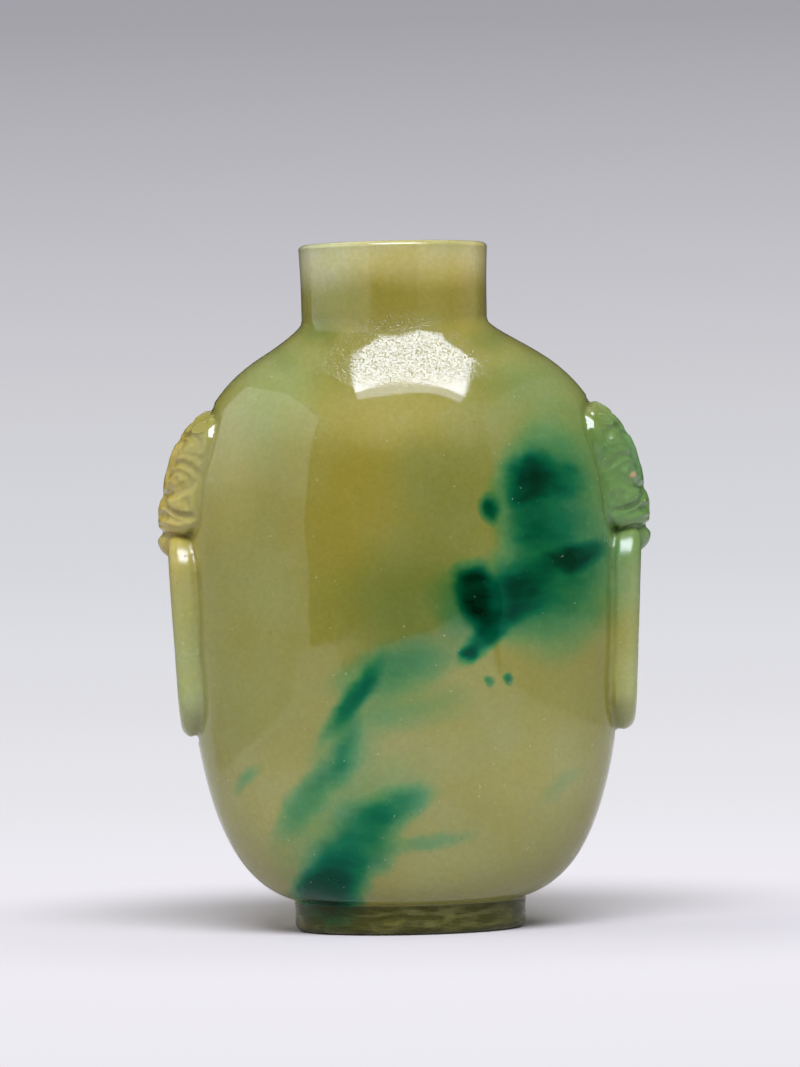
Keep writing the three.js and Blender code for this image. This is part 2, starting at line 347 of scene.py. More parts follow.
@dataclass(frozen=True)
class Foot:
    """The oval foot ring, with a shallow recess inside it."""

    height: float = 2.55
    half_width: float = 9.82
    half_depth: float = 6.82
    waist: float = 0.09
    bevel: float = 0.8
    ring_width: float = 2.5
    ring_rounding: float = 0.25
    recess_depth: float = 1.2
    recess_rounding: float = 0.5
    recess_middle: Pair = (0.4, 0.3)
    inner_steps: int = 4

    def oval(self, inset: float, z: float) -> Triple:
        """Give the foot's oval at a height, drawn in by an inset."""
        return (z, self.half_width - inset, self.half_depth - inset)

    def runs(self) -> list[Sections]:
        """List the runs of sections from the recess, over the ring and up the side of the foot."""
        side_z = (self.bevel + self.height) / 2
        side = [self.oval(self.waist / 2, self.bevel), self.oval(self.waist, side_z), self.oval(0, self.height)]
        ceiling = self.oval(self.ring_width + self.recess_rounding, self.recess_depth)
        wall_top = self.oval(self.ring_width, self.recess_depth - self.recess_rounding)
        wall_bottom = self.oval(self.ring_width, self.ring_rounding)
        inner_edge = self.oval(self.ring_width - self.ring_rounding, 0)
        outer_edge = self.oval(self.bevel, 0)
        return [
            oval_run([(self.recess_depth, *self.recess_middle), ceiling]),
            quarter_round(ceiling, wall_top, True, self.inner_steps),
            oval_run([wall_top, wall_bottom]),
            quarter_round(wall_bottom, inner_edge, False, self.inner_steps),
            oval_run([inner_edge, outer_edge]),
            quarter_round(outer_edge, side[0], True),
            oval_run(side),
        ]


@dataclass(frozen=True)
class Lean:
    """How the stone, shaped by eye, leans: shoulders a little towards +X and the neck towards -X."""

    shoulder: float = 0.07
    neck: float = -0.3
    start_z: float = 28.0
    shoulder_z: float = 48.0
    neck_from_z: float = 48.9
    neck_to_z: float = 51.6

    def at(self, z: np.ndarray) -> np.ndarray:
        """Find how far the stone leans at some heights."""
        shoulder = self.shoulder * smoothstep(z, self.start_z, self.shoulder_z)
        return lerp(shoulder, self.neck, smoothstep(z, self.neck_from_z, self.neck_to_z))


@dataclass(frozen=True)
class Vessel:
    """The body, neck, foot and hollow, as one closed skin."""

    body: Ovoid = Ovoid(
        centre_z=27.7,
        half_width=18.45,
        half_depth=10.6,
        above=OvoidEnd(reach=24.24, taper=4.07, width_fullness=1.78, depth_fullness=2.67),
        below=OvoidEnd(reach=25.7, taper=2.15, width_fullness=4.6, depth_fullness=7.0),
    )
    cavity: Ovoid = Ovoid(
        centre_z=27.7,
        half_width=15.2,
        half_depth=7.5,
        above=OvoidEnd(reach=20.3, taper=4.07, width_fullness=1.78, depth_fullness=2.67),
        below=OvoidEnd(reach=22.2, taper=2.15, width_fullness=4.6, depth_fullness=7.0),
    )
    neck: Neck = Neck()
    mouth: Mouth = Mouth()
    foot: Foot = Foot()
    section_power: float = 2.12
    columns: int = 208
    outer_spacing: float = 0.42
    foot_spacing: float = 0.3
    hollow_spacing: float = 1.1
    rounder_below_top: float = 8.0
    round_above_top: float = 1.0
    fine_levels: int = 4000
    hollow_levels: int = 3000
    floor_gap: float = 0.01
    unevenness: float = 0.011
    shell: Pair = (0.9, 0.97)
    wave_start: float = 2.0
    wave_end: Pair = (1.5, 0.5)

    def necked(self, ovoid: Ovoid, z: np.ndarray, neck: "Neck | Mouth") -> Sections:
        """Give the sections of an ovoid with a round neck growing out of its top.

        Args:
            ovoid: The outside of the body, or its hollow.
            z: The heights.
            neck: The neck, or the opening in it.

        Returns:
            The sections at the heights.
        """
        half_width, half_depth = ovoid.halves(z)
        is_above = z >= ovoid.centre_z
        radius = neck.radius_at(z)
        half_width = np.where(is_above, filleted_max(half_width, radius, neck.fillet_width), half_width)
        half_depth = np.where(is_above, filleted_max(half_depth, radius, neck.fillet_depth), half_depth)
        roundness = smoothstep(z, ovoid.top_z - self.rounder_below_top, ovoid.top_z + self.round_above_top)
        return Sections(z, half_width, half_depth, lerp(self.section_power, 2, roundness))

    def outside(self, z: np.ndarray) -> Sections:
        """Give the sections of the outside at some heights."""
        return self.necked(self.body, z, self.neck)

    def side_x(self, y: np.ndarray, z: np.ndarray) -> np.ndarray:
        """Find how far out the body's surface lies on the narrow side of +X.

        Args:
            y: Distances from the middle of the narrow side.
            z: The heights.

        Returns:
            The x of the surface at each place.
        """
        section = self.outside(z)
        share = np.clip(np.abs(y / section.half_depth), 0, 1)
        return section.half_width * (1 - share**section.power) ** (1 / section.power)

    def sections(self) -> Sections:
        """List every section, from under the foot, up the outside, over the lip and down the hollow."""
        rounded_z = HEIGHT - self.neck.lip_rounding
        outer, inner = self.neck.lip_radius, self.mouth.radius + self.neck.lip_rounding
        flat = outer - self.neck.lip_rounding
        lip = [
            quarter_round((rounded_z, outer, outer), (HEIGHT, flat, flat), False),
            oval_run([(HEIGHT, flat, flat), (HEIGHT, inner, inner)]),
            quarter_round((HEIGHT, inner, inner), (rounded_z, self.mouth.radius, self.mouth.radius), True),
        ]
        outside = self.outside(np.linspace(self.foot.height, rounded_z, self.fine_levels))
        floor_z = self.cavity.centre_z - self.cavity.below.reach + self.floor_gap
        hollow = self.necked(self.cavity, np.linspace(rounded_z, floor_z, self.hollow_levels), self.mouth)
        foot = [run.resampled(self.foot_spacing) for run in self.foot.runs()]
        even_outside = outside.resampled(self.outer_spacing)
        even_lip = [lip[0], lip[1].resampled(self.outer_spacing), lip[2]]
        return joined([*foot, even_outside, *even_lip, hollow.resampled(self.hollow_spacing)])

    def build(self) -> Object:
        """Loft the vessel and give its outside the slight waves of hand polishing.

        Returns:
            The vessel as a closed object, in millimetres.
        """
        vessel = lofted_object("vessel", self.sections().loops(self.columns))
        mesh = vessel.data
        points = mesh_points(mesh)
        normals = np.array([vertex.normal for vertex in mesh.vertices])
        section = self.outside(np.maximum(points[:, 2], self.foot.height))
        out = np.hypot(points[:, 0] / section.half_width, points[:, 1] / section.half_depth)
        z, foot_z = points[:, 2], self.foot.height
        on_outside = smoothstep(out, *self.shell) * smoothstep(z, foot_z, foot_z + self.wave_start)
        on_outside *= 1 - smoothstep(z, *(HEIGHT - below for below in self.wave_end))
        wave = Undulation().at(points) * self.unevenness * on_outside
        move_points(mesh, points + normals * wave[:, None])
        return vessel


# ---------- handles


@dataclass(frozen=True)
class Placing:
    """How a handle made on the side of +X is set on a narrow side."""

    turn: float
    inset: float
    mask_scale_z: float
    ring_bottom_z: float


class Side(Enum):
    """A narrow side of the bottle. The left handle stands out less, and its mask is a little shorter."""

    RIGHT = Placing(turn=0.0, inset=0.0, mask_scale_z=1.0, ring_bottom_z=16.5)
    LEFT = Placing(turn=math.pi, inset=0.3, mask_scale_z=0.976, ring_bottom_z=16.6)


@dataclass(frozen=True)
class Boss:
    """A raised or sunken oval form on the mask. A tilted form has its outer end raised."""

    across: float
    z: float
    half_across: float
    half_up: float
    rise: float
    tilt: float = 0.0

    def rise_at(self, across: np.ndarray, z: np.ndarray) -> np.ndarray:
        """Find the form's rise at places, by their distance from the middle of the face and their height."""
        out, up = across - self.across, z - self.z
        along = out * math.cos(self.tilt) + up * math.sin(self.tilt)
        aside = up * math.cos(self.tilt) - out * math.sin(self.tilt)
        left = np.maximum(1 - (along / self.half_across) ** 2 - (aside / self.half_up) ** 2, 0)
        return self.rise * left * left * (3 - 2 * left)


@dataclass(frozen=True)
class Stroke:
    """A cut or a fine ridge along a curve on the mask, given as distances from the middle and heights."""

    points: tuple[Pair, ...]
    half_width: float
    rise: float
    blunt: float = 0.25
    swell: float = 1.3
    thinnest: float = 0.5

    def track(self, rounds: int = 4) -> np.ndarray:
        """Round the corners of the curve by cutting them again and again.

        Args:
            rounds: How many times the corners are cut.

        Returns:
            Points along the smooth curve as (point, across and z).
        """
        curve = np.array(self.points, dtype=float)
        for _ in range(rounds):
            early = curve[:-1] * 0.75 + curve[1:] * 0.25
            late = curve[:-1] * 0.25 + curve[1:] * 0.75
            between = np.stack([early, late], axis=1).reshape(-1, 2)
            curve = np.concatenate([curve[:1], between, curve[-1:]])
        return curve

    def rise_near(self, surface: np.ndarray, track: np.ndarray) -> np.ndarray:
        """Find the stroke's rise at each point of a surface.

        Args:
            surface: The points of the surface as (..., xyz).
            track: The points of the stroke on the same surface as (point, xyz).

        Returns:
            The rise at each point, thinner towards the stroke's ends.
        """
        share = np.linspace(0, 1, len(track))
        fullness = np.minimum(1, lerp(self.blunt, 1, np.sin(math.pi * share)) * self.swell)
        best = np.zeros(surface.shape[:-1])
        for point, full in zip(track, fullness):
            distance = np.linalg.norm(surface - point, axis=-1)
            reach = self.half_width * lerp(self.thinnest, 1, full)
            left = np.maximum(1 - (distance / reach) ** 2, 0)
            best = np.maximum(best, left * left * full)
        return self.rise * best


CURL_POINTS = 18


def curl(centre: Pair, radius: Pair, turn: Pair, half_width: float, rise: float) -> Stroke:
    """Make a spiral stroke.

    Args:
        centre: The middle of the spiral.
        radius: The radius at its start and at its end.
        turn: The angle at its start and at its end, in degrees.
        half_width: Half the width of the stroke.
        rise: The rise of the stroke.

    Returns:
        The spiral.
    """
    points = []
    for share in np.linspace(0, 1, CURL_POINTS):
        angle = math.radians(lerp(*turn, share))
        reach = lerp(*radius, share)
        points.append((centre[0] + reach * math.cos(angle), centre[1] + reach * math.sin(angle)))
    return Stroke(tuple(points), half_width, rise, 0.5)


MASK_BOSSES = (
    Boss(0, 43.3, 1.3, 0.95, 0.15),
    Boss(3.05, 42.95, 1.45, 1.25, 0.19),
    Boss(0.95, 40.75, 1.1, 1.3, 0.16, 0.2),
    Boss(2.95, 40.8, 1.25, 0.95, 0.23, 0.4),
    Boss(2.7, 38.4, 1.15, 0.95, 0.19, 0.1),
    Boss(3.1, 36.4, 1.35, 1.2, 0.19),
    Boss(0, 35.95, 1.3, 0.95, 0.11),
    Boss(1.15, 35.8, 0.6, 0.5, 0.13),
    Boss(1.75, 35.4, 0.75, 0.38, -0.19, -0.3),
    Boss(1.05, 35.4, 0.3, 0.26, -0.14),
)

MASK_STROKES = (
    curl((3.05, 42.95), (1.25, 0.22), (200, -290), 0.26, 0.26),
    curl((3.05, 42.95), (1.02, 0.1), (180, -290), 0.15, -0.2),
    Stroke(((0.9, 42.2), (1.5, 42.27), (2.7, 42.25), (3.6, 41.95), (4.0, 41.0)), 0.24, -0.32, 0.6),
    Stroke(((0.9, 41.9), (1.5, 41.97), (2.5, 41.9), (3.3, 41.6), (3.6, 41.0)), 0.17, 0.14, 0.5),
    Stroke(((0, 41.6), (0, 40.6), (0, 39.3)), 0.2, -0.2, 0.5),
    Stroke(((2.0, 41.7), (2.08, 40.8), (1.75, 39.6)), 0.22, -0.26, 0.4),
    Stroke(((2.5, 41.3), (3.2, 41.5), (3.9, 41.3)), 0.13, -0.13),
    Stroke(((2.4, 40.9), (3.2, 41.1), (4.1, 40.8)), 0.13, -0.13),
    Stroke(((2.4, 40.5), (3.2, 40.65), (4.1, 40.3)), 0.13, -0.13),
    Stroke(((3.98, 38.3), (3.7, 39.0), (3.0, 39.45), (2.1, 39.35), (1.55, 38.9)), 0.22, 0.28, 0.4),
    Stroke(((4.15, 38.6), (3.85, 39.3), (3.05, 39.8), (2.0, 39.65), (1.3, 39.1)), 0.2, -0.24, 0.4),
    Stroke(((3.65, 38.35), (3.3, 38.95), (2.7, 39.1), (2.1, 38.95), (1.8, 38.5)), 0.13, -0.18, 0.4),
    Stroke(((3.75, 37.95), (3.2, 37.5), (2.5, 37.4), (1.9, 37.65)), 0.17, 0.2, 0.4),
    Stroke(((3.6, 37.6), (3.0, 37.15), (2.3, 37.1), (1.8, 37.35)), 0.14, -0.14, 0.4),
    Stroke(((2.72, 38.42), (2.68, 38.38)), 0.27, -0.34, 1.0),
    Stroke(((0.8, 37.1), (1.3, 37.05), (1.8, 37.15), (2.3, 37.4)), 0.28, -0.32, 0.6),
    Stroke(((0.2, 36.95), (1.0, 36.8), (1.5, 36.4)), 0.14, 0.12, 0.5),
    Stroke(((0.6, 36.95), (1.4, 36.35), (2.4, 35.8), (3.2, 35.3), (3.9, 35.1)), 0.26, -0.32, 0.4),
    Stroke(((1.0, 36.1), (1.9, 35.75), (2.7, 35.35), (3.3, 34.95)), 0.2, 0.2, 0.4),
    Stroke(((0, 34.85), (1.2, 34.8), (2.3, 34.75), (3.3, 34.5)), 0.4, 0.12, 0.7),
    Stroke(((3.3, 44.2), (3.9, 43.8), (4.35, 43.0), (4.5, 42.2)), 0.2, -0.14, 0.5),
    Stroke(((0.0, 42.6), (0.0, 43.3), (0.0, 44.1)), 0.12, -0.12, 0.5),
    Stroke(((0.45, 42.65), (0.55, 43.3), (0.4, 44.0)), 0.1, -0.1, 0.5),
    Stroke(((1.35, 42.7), (1.5, 43.5), (1.2, 44.3)), 0.2, -0.24, 0.5),
    Stroke(((3.7, 37.0), (4.05, 36.4), (4.0, 35.7)), 0.12, -0.1),
    Stroke(((3.4, 36.9), (3.75, 36.3), (3.7, 35.6)), 0.12, -0.1),
    Stroke(((4.1, 40.2), (4.3, 39.4), (4.3, 38.4)), 0.16, -0.12),
)


@dataclass(frozen=True)
class MaskRelief:
    """An animal mask in relief. Its forehead curves back above brow_z, and its muzzle stands out below it."""

    vessel: Vessel
    lip_z: float = 33.6
    cheek_z: float = 35.6
    brow_z: float = 37.5
    ear_z: float = 41.2
    crown_z: float = 44.45
    cheek_half_width: float = 4.3
    ear_half_width: float = 4.7
    crown_half_width: float = 0.3
    lip_half_width: float = 3.1
    base_x: float = 16.2
    forehead_x: float = 20.5
    muzzle_x: float = 20.93
    lip_round: float = 0.6
    forehead_power: float = 1.6
    dome_power: float = 1.7
    ear_power: float = 2.3
    bury: float = 1.5
    rim: float = 0.6
    rows: int = 112
    columns: int = 96
    row_crowding: float = 0.45
    hand_wobble: float = 0.045
    wobble: Undulation = Undulation(shortest=1.8, longest=4.0, waves=10, seed=11)
    middle_share: float = 0.3
    middle: Pair = (0.2, 1.6)
    bosses: tuple[Boss, ...] = MASK_BOSSES
    strokes: tuple[Stroke, ...] = MASK_STROKES

    def crest_x(self, z: np.ndarray) -> np.ndarray:
        """Find how far out the middle line of the mask stands."""
        muzzle = smoothstep(self.brow_z - z, 0, self.brow_z - self.cheek_z)
        lip = 1 - np.clip((z - self.lip_z) / self.lip_round, 0, 1)
        front = lerp(self.forehead_x, self.muzzle_x, muzzle) - self.lip_round * (1 - np.sqrt(1 - lip * lip))
        share = np.clip((z - self.brow_z) / (self.crown_z - self.brow_z), 0, 1)
        left = 1 - share**self.forehead_power
        brow = self.base_x + (self.forehead_x - self.base_x) * left ** (1 / self.forehead_power)
        return np.where(z < self.brow_z, front, brow)

    def half_width(self, z: np.ndarray) -> np.ndarray:
        """Find half the width of the mask seen face on."""
        share = np.clip((z - self.ear_z) / (self.crown_z - self.ear_z), 0, 1)
        arch = (1 - share**self.ear_power) ** (1 / self.ear_power)
        crown = np.maximum(self.ear_half_width * arch, self.crown_half_width)
        full = lerp(self.cheek_half_width, self.ear_half_width, smoothstep(z, self.brow_z, self.ear_z))
        drawn_in = 1 - np.clip((z - self.lip_z) / (self.cheek_z - self.lip_z), 0, 1)
        jaw = lerp(full, self.lip_half_width, 1 - np.sqrt(1 - drawn_in * drawn_in))
        return np.where(z > self.ear_z, crown, jaw)

    def dome(self, y: np.ndarray, z: np.ndarray) -> np.ndarray:
        """Find how high the plain mask is raised, from 0 at its outline to 1 on its middle line."""
        share = np.clip(np.abs(y) / self.half_width(z), 0, 1)
        return (1 - share**self.dome_power) ** (1 / self.dome_power)

    def plain_surface(self, y: np.ndarray, z: np.ndarray) -> np.ndarray:
        """Give the domed front of the mask, before anything is carved in it.

        Args:
            y: Places across the face.
            z: Places up the face.

        Returns:
            The points of the surface as (..., xyz).
        """
        base = self.vessel.side_x(y, z) - self.rim
        x = lerp(base, np.maximum(self.crest_x(z), base), self.dome(y, z))
        return np.stack([x, y, z], axis=-1)

    def carved_rise(self, surface: np.ndarray) -> np.ndarray:
        """Find how far the carving stands out from the plain surface.

        Args:
            surface: The points of the plain front as (..., xyz).

        Returns:
            The rise at each point.
        """
        across, z = np.abs(surface[..., 1]), surface[..., 2]
        across = across + self.hand_wobble * self.wobble.at(surface)
        rise = sum(boss.rise_at(across, z) for boss in self.bosses)
        half = np.stack([surface[..., 0], across, z], axis=-1)
        for stroke in self.strokes:
            track = stroke.track()
            rise = rise + stroke.rise_near(half, self.plain_surface(track[:, 0], track[:, 1]))
        return rise * lerp(self.middle_share, 1, smoothstep(across, *self.middle))

    def build(self) -> Object:
        """Carve the mask as a closed object whose back lies in the wall of the vessel.

        Returns:
            The mask on the side of +X, in millimetres.
        """
        even = np.linspace(0, 1, self.rows + 1)
        z = lerp(self.lip_z, self.crown_z, even - self.row_crowding / math.tau * np.sin(math.tau * even))
        share = np.sin(np.linspace(-1, 1, self.columns + 1) * math.pi / 2)
        y = self.half_width(z)[:, None] * share[None, :]
        z = np.broadcast_to(z[:, None], y.shape)
        front = self.plain_surface(y, z)
        normal = np.cross(np.gradient(front, axis=1), np.gradient(front, axis=0))
        normal /= np.linalg.norm(normal, axis=-1, keepdims=True) + 1e-9
        rise = self.carved_rise(front) * np.sqrt(self.dome(y, z))
        back = np.stack([self.vessel.side_x(y, z) - self.bury, y, z], axis=-1)[:, ::-1]
        return lofted_object("mask", np.concatenate([front + normal * rise[..., None], back], axis=1))


@dataclass(frozen=True)
class Tongue:
    """The tongue and lower lip that close over the top of the ring."""

    middle_x: float = 18.75
    z: float = 33.0
    reach_x: float = 2.26
    half_width: float = 1.9
    half_height: float = 1.72
    segments: int = 64
    rings: int = 32

    def build(self) -> Object:
        """Make the tongue on the side of +X, in millimetres."""
        mesh = bpy.data.meshes.new("tongue")
        shape = bmesh.new()
        bmesh.ops.create_uvsphere(shape, u_segments=self.segments, v_segments=self.rings, radius=1)
        size = Matrix.Diagonal((self.reach_x, self.half_width, self.half_height, 1))
        place = Matrix.Translation((self.middle_x, 0, self.z))
        bmesh.ops.transform(shape, matrix=place @ size, verts=shape.verts)
        shape.to_mesh(mesh)
        shape.free()
        return link_object("tongue", mesh)


# ---------- nodes and rings


class NodeCanvas:
    """A node tree, with short ways to add nodes and wire them up."""

    def __init__(self, tree: bpy.types.NodeTree) -> None:
        """Start with an empty tree."""
        self.tree = tree
        tree.nodes.clear()

    def add(self, kind: str, inputs: dict | None = None, **settings: object) -> bpy.types.Node:
        """Add a node.

        Args:
            kind: The node's type.
            inputs: Values or other nodes' outputs, by the name or number of the input.
            **settings: Properties to set on the node.

        Returns:
            The new node.
        """
        node = self.tree.nodes.new(kind)
        for name, value in settings.items():
            setattr(node, name, value)
        for name, value in (inputs or {}).items():
            if isinstance(value, Socket):
                self.tree.links.new(value, node.inputs[name])
            else:
                node.inputs[name].default_value = value
        return node

    def math(self, operation: str, *values: object) -> Socket:
        """Add a Math node and give its result."""
        return self.add("ShaderNodeMath", dict(enumerate(values)), operation=operation).outputs[0]

    def vector(self, operation: str, *values: object) -> bpy.types.NodeOutputs:
        """Add a Vector Math node and give its outputs."""
        return self.add("ShaderNodeVectorMath", dict(enumerate(values)), operation=operation).outputs

    def parts(self, place: Socket) -> bpy.types.NodeOutputs:
        """Split places into X, Y and Z."""
        return self.add("ShaderNodeSeparateXYZ", {"Vector": place}).outputs

    def ramp(self, value: object, low: float, high: float, to_low: float = 0, to_high: float = 1) -> Socket:
        """Ease a value from one range to another.

        Args:
            value: The output that is eased.
            low: The value that gives to_low.
            high: The value that gives to_high.
            to_low: The result at low.
            to_high: The result at high.

        Returns:
            The eased result.
        """
        inputs = {"Value": value, "From Min": low, "From Max": high, "To Min": to_low, "To Max": to_high}
        node = self.add("ShaderNodeMapRange", inputs, interpolation_type="SMOOTHSTEP", clamp=True)
        return node.outputs["Result"]

    def noise(self, place: Socket, scale: float, detail: float, roughness: float = 0.5) -> bpy.types.Node:
        """Add a noise: its features along a millimetre, its finer layers, and how strong those are."""
        inputs = {"Vector": place, "Scale": scale, "Detail": detail, "Roughness": roughness}
        return self.add("ShaderNodeTexNoise", inputs)

    def blend(self, share: object, start: object, end: object) -> Socket:
        """Mix a share of the end colour into the start colour."""
        inputs = {0: share, 6: start, 7: end}
        return self.add("ShaderNodeMix", inputs, data_type="RGBA", clamp_factor=True).outputs[2]

    def warped(self, place: Socket, scale: float, reach: float) -> Socket:
        """Push places about by a noise, by up to reach in millimetres, to give patterns uneven edges."""
        pattern = self.noise(place, scale, 2.0).outputs["Color"]
        centred = self.vector("SUBTRACT", pattern, (0.5, 0.5, 0.5))[0]
        return self.vector("MULTIPLY_ADD", centred, (reach * 2,) * 3, place)[0]

    def stretched(self, place: Socket, scale: Triple, tilt: float = 0.0) -> Socket:
        """Scale places, and tilt them about Y by some degrees, so that a pattern runs one way."""
        inputs = {"Vector": place, "Rotation": (0, math.radians(tilt), 0), "Scale": scale}
        return self.add("ShaderNodeMapping", inputs).outputs[0]

    def graded(self, value: Socket, stops: tuple[tuple[float, Colour], ...]) -> Socket:
        """Turn a value from 0 to 1 into a colour.

        Args:
            value: The value.
            stops: The colour at each of some values.

        Returns:
            The colour, blended evenly between the stops.
        """
        ramp = self.add("ShaderNodeValToRGB", {"Fac": value})
        elements = ramp.color_ramp.elements
        while len(elements) < len(stops):
            elements.new(1.0)
        for element, (position, colour) in zip(elements, stops):
            element.position = position
            element.color = colour
        return ramp.outputs["Color"]

    def tinted(self, share: object, colour: object, tint: object) -> Socket:
        """Multiply a colour by a tint, by as much as a share from 0 to 1 says."""
        settings = {"data_type": "RGBA", "blend_type": "MULTIPLY", "clamp_factor": True}
        return self.add("ShaderNodeMix", {0: share, 6: colour, 7: tint}, **settings).outputs[2]


@dataclass(frozen=True)
class HeldRing:
    """The long ring in the mask's mouth: a bar with a half-round crest along a path with half-round ends."""

    bottom_z: float
    top_z: float = 34.5
    outer_half_width: float = 4.0
    tube_radius: float = 1.05
    leg_depth: float = 1.7
    crest_top_x: float = 20.2
    crest_bottom_x: float = 19.3
    end_steps: int = 40
    crest_steps: int = 10
    crest_roundness: float = 0.995
    spacing: float = 0.2
    wave_scale: float = 0.45
    seam: float = 0.005
    unevenness: float = 0.05

    def tree(self) -> tuple[bpy.types.NodeTree, dict[str, float]]:
        """Build the node tree that sweeps the bar along the ring's path.

        Returns:
            The tree, and the value of each of its named inputs.
        """
        length = self.top_z - self.bottom_z - 2 * self.tube_radius
        values = {
            "Path Width": 2 * (self.outer_half_width - self.tube_radius),
            "Path Length": length,
            "End Radius": self.outer_half_width - self.tube_radius,
            "Bar Width": 2 * self.tube_radius,
            "Bar Depth": self.tube_radius + self.leg_depth,
            "Crest Radius": self.tube_radius * self.crest_roundness,
            "Crest Centre": (self.crest_top_x + self.crest_bottom_x - self.tube_radius - self.leg_depth) / 2,
            "Crest Slope": (self.crest_top_x - self.crest_bottom_x) / (self.top_z - self.bottom_z),
            "Middle Height": (self.top_z + self.bottom_z) / 2,
            "Spacing": self.spacing,
            "Unevenness": self.unevenness,
        }
        tree = bpy.data.node_groups.new("held_ring", "GeometryNodeTree")
        tree.interface.new_socket("Geometry", in_out="OUTPUT", socket_type="NodeSocketGeometry")
        for name in values:
            tree.interface.new_socket(name, in_out="INPUT", socket_type="NodeSocketFloat")
        tree.interface.new_socket("Material", in_out="INPUT", socket_type="NodeSocketMaterial")
        canvas = NodeCanvas(tree)
        sizes = canvas.add("NodeGroupInput").outputs
        ends = (sizes["Path Width"], sizes["Path Length"], sizes["End Radius"])
        bar = self.rounded(canvas, *ends, self.end_steps)
        even = {"Curve": bar, "Length": sizes["Spacing"]}
        path = canvas.add("GeometryNodeResampleCurve", even, mode="LENGTH").outputs["Curve"]
        crest = (sizes["Bar Width"], sizes["Bar Depth"], sizes["Crest Radius"])
        section = self.rounded(canvas, *crest, self.crest_steps)
        swept = canvas.add("GeometryNodeCurveToMesh", {"Curve": path, "Profile Curve": section})
        turn = (math.pi / 2, 0, math.pi / 2)
        upright = canvas.add("GeometryNodeTransform", {"Geometry": swept.outputs["Mesh"], "Rotation": turn})
        place = canvas.add("GeometryNodeInputPosition").outputs["Position"]
        height = canvas.parts(place)["Z"]
        leaning = canvas.math("MULTIPLY_ADD", height, sizes["Crest Slope"], sizes["Crest Centre"])
        shift = canvas.add("ShaderNodeCombineXYZ", {"X": leaning, "Z": sizes["Middle Height"]}).outputs[0]
        pattern = canvas.noise(place, self.wave_scale, 1.0).outputs["Color"]
        wander = {0: canvas.vector("SUBTRACT", pattern, (0.5, 0.5, 0.5))[0], "Scale": sizes["Unevenness"]}
        uneven = canvas.add("ShaderNodeVectorMath", wander, operation="SCALE").outputs[0]
        placing = {"Geometry": upright.outputs["Geometry"], "Offset": canvas.vector("ADD", shift, uneven)[0]}
        placed = canvas.add("GeometryNodeSetPosition", placing).outputs["Geometry"]
        real = canvas.add("GeometryNodeRealizeInstances", {"Geometry": placed}).outputs["Geometry"]
        finish = {"Geometry": real, "Material": sizes["Material"]}
        dressed = canvas.add("GeometryNodeSetMaterial", finish).outputs["Geometry"]
        canvas.add("NodeGroupOutput", {"Geometry": dressed})
        return tree, values

    @staticmethod
    def rounded(canvas: NodeCanvas, width: Socket, length: Socket, radius: Socket, steps: int) -> Socket:
        """Add a rectangle with rounded corners.

        Args:
            canvas: The tree that it is drawn in.
            width: The rectangle's width.
            length: The rectangle's length.
            radius: The radius of its corners.
            steps: The steps of each corner.

        Returns:
            The curve.
        """
        plain = canvas.add("GeometryNodeCurvePrimitiveQuadrilateral", {"Width": width, "Height": length})
        corners = {"Curve": plain.outputs["Curve"], "Radius": radius, "Count": steps}
        return canvas.add("GeometryNodeFilletCurve", corners, mode="POLY").outputs["Curve"]

    def build(self, finish: Material) -> Object:
        """Sweep the ring and turn the result into a plain mesh.

        Args:
            finish: The material of the ring.

        Returns:
            The ring on the side of +X, in millimetres.
        """
        tree, values = self.tree()
        source = link_object("ring_path", bpy.data.meshes.new("ring_path"))
        modifier = source.modifiers.new("ring", "NODES")
        modifier.node_group = tree
        for item in tree.interface.items_tree:
            if item.in_out == "INPUT":
                modifier[item.identifier] = finish if item.name == "Material" else values[item.name]
        mesh = evaluated_mesh(source)
        bpy.data.objects.remove(source)
        shape = bmesh.new()
        shape.from_mesh(mesh)
        bmesh.ops.remove_doubles(shape, verts=shape.verts, dist=self.seam)
        bmesh.ops.recalc_face_normals(shape, faces=shape.faces)
        shape.to_mesh(mesh)
        shape.free()
        return link_object("ring", mesh)


@dataclass(frozen=True)
class Handle:
    """A mask with its tongue and ring, on one narrow side."""

    mask: MaskRelief
    tongue: Tongue = Tongue()
    mask_anchor_z: float = 44.0

    def build(self, side: Side, finish: Material) -> list[Object]:
        """Make the solids of the handle.

        Args:
            side: The narrow side that it stands on.
            finish: The material of the stone.

        Returns:
            The closed solids, in millimetres.
        """
        placing = side.value
        face = [self.mask.build(), self.tongue.build()]
        anchor = Matrix.Translation((0, 0, self.mask_anchor_z))
        shorter = anchor @ Matrix.Diagonal((1, 1, placing.mask_scale_z, 1)) @ anchor.inverted()
        for solid in face:
            solid.data.transform(shorter)
        solids = [*face, HeldRing(placing.ring_bottom_z).build(finish)]
        set_in = Matrix.Rotation(placing.turn, 4, "Z") @ Matrix.Translation((-placing.inset, 0, 0))
        for solid in solids:
            solid.data.transform(set_in)
            log.info("%s on the %s side: %d faces", solid.name, side.name.lower(), len(solid.data.polygons))
        return solids


# ---------- finish


class Tint(Enum):
    """A colour that clouds the stone, or that paints light or shade on it. The ground is multiplied by it, and
    still shows in thin haze.
    """

    EMERALD = "emerald"
    MINT = (1.2, 1.5, 2.6, 1)
    OCHRE = (1.2, 1.0, 0.55, 1)
    CREAM = (2.1, 1.9, 3.2, 1)
    PALE = (1.35, 1.35, 1.9, 1)
    OLIVE = (0.5, 0.66, 0.45, 1)
    RUST = (3.6, 1.3, 2.0, 1)
    # Painted glow and highlight on the lip and the top of the neck, where light shines through the thin stone.
    PAINTED_LIP_GLOW = (1.95, 1.9, 4.2, 1)
    # Painted shade: a dark dot for the inside of a drilled pit.
    PAINTED_PIT_SHADE = (0.05, 0.05, 0.1, 1)


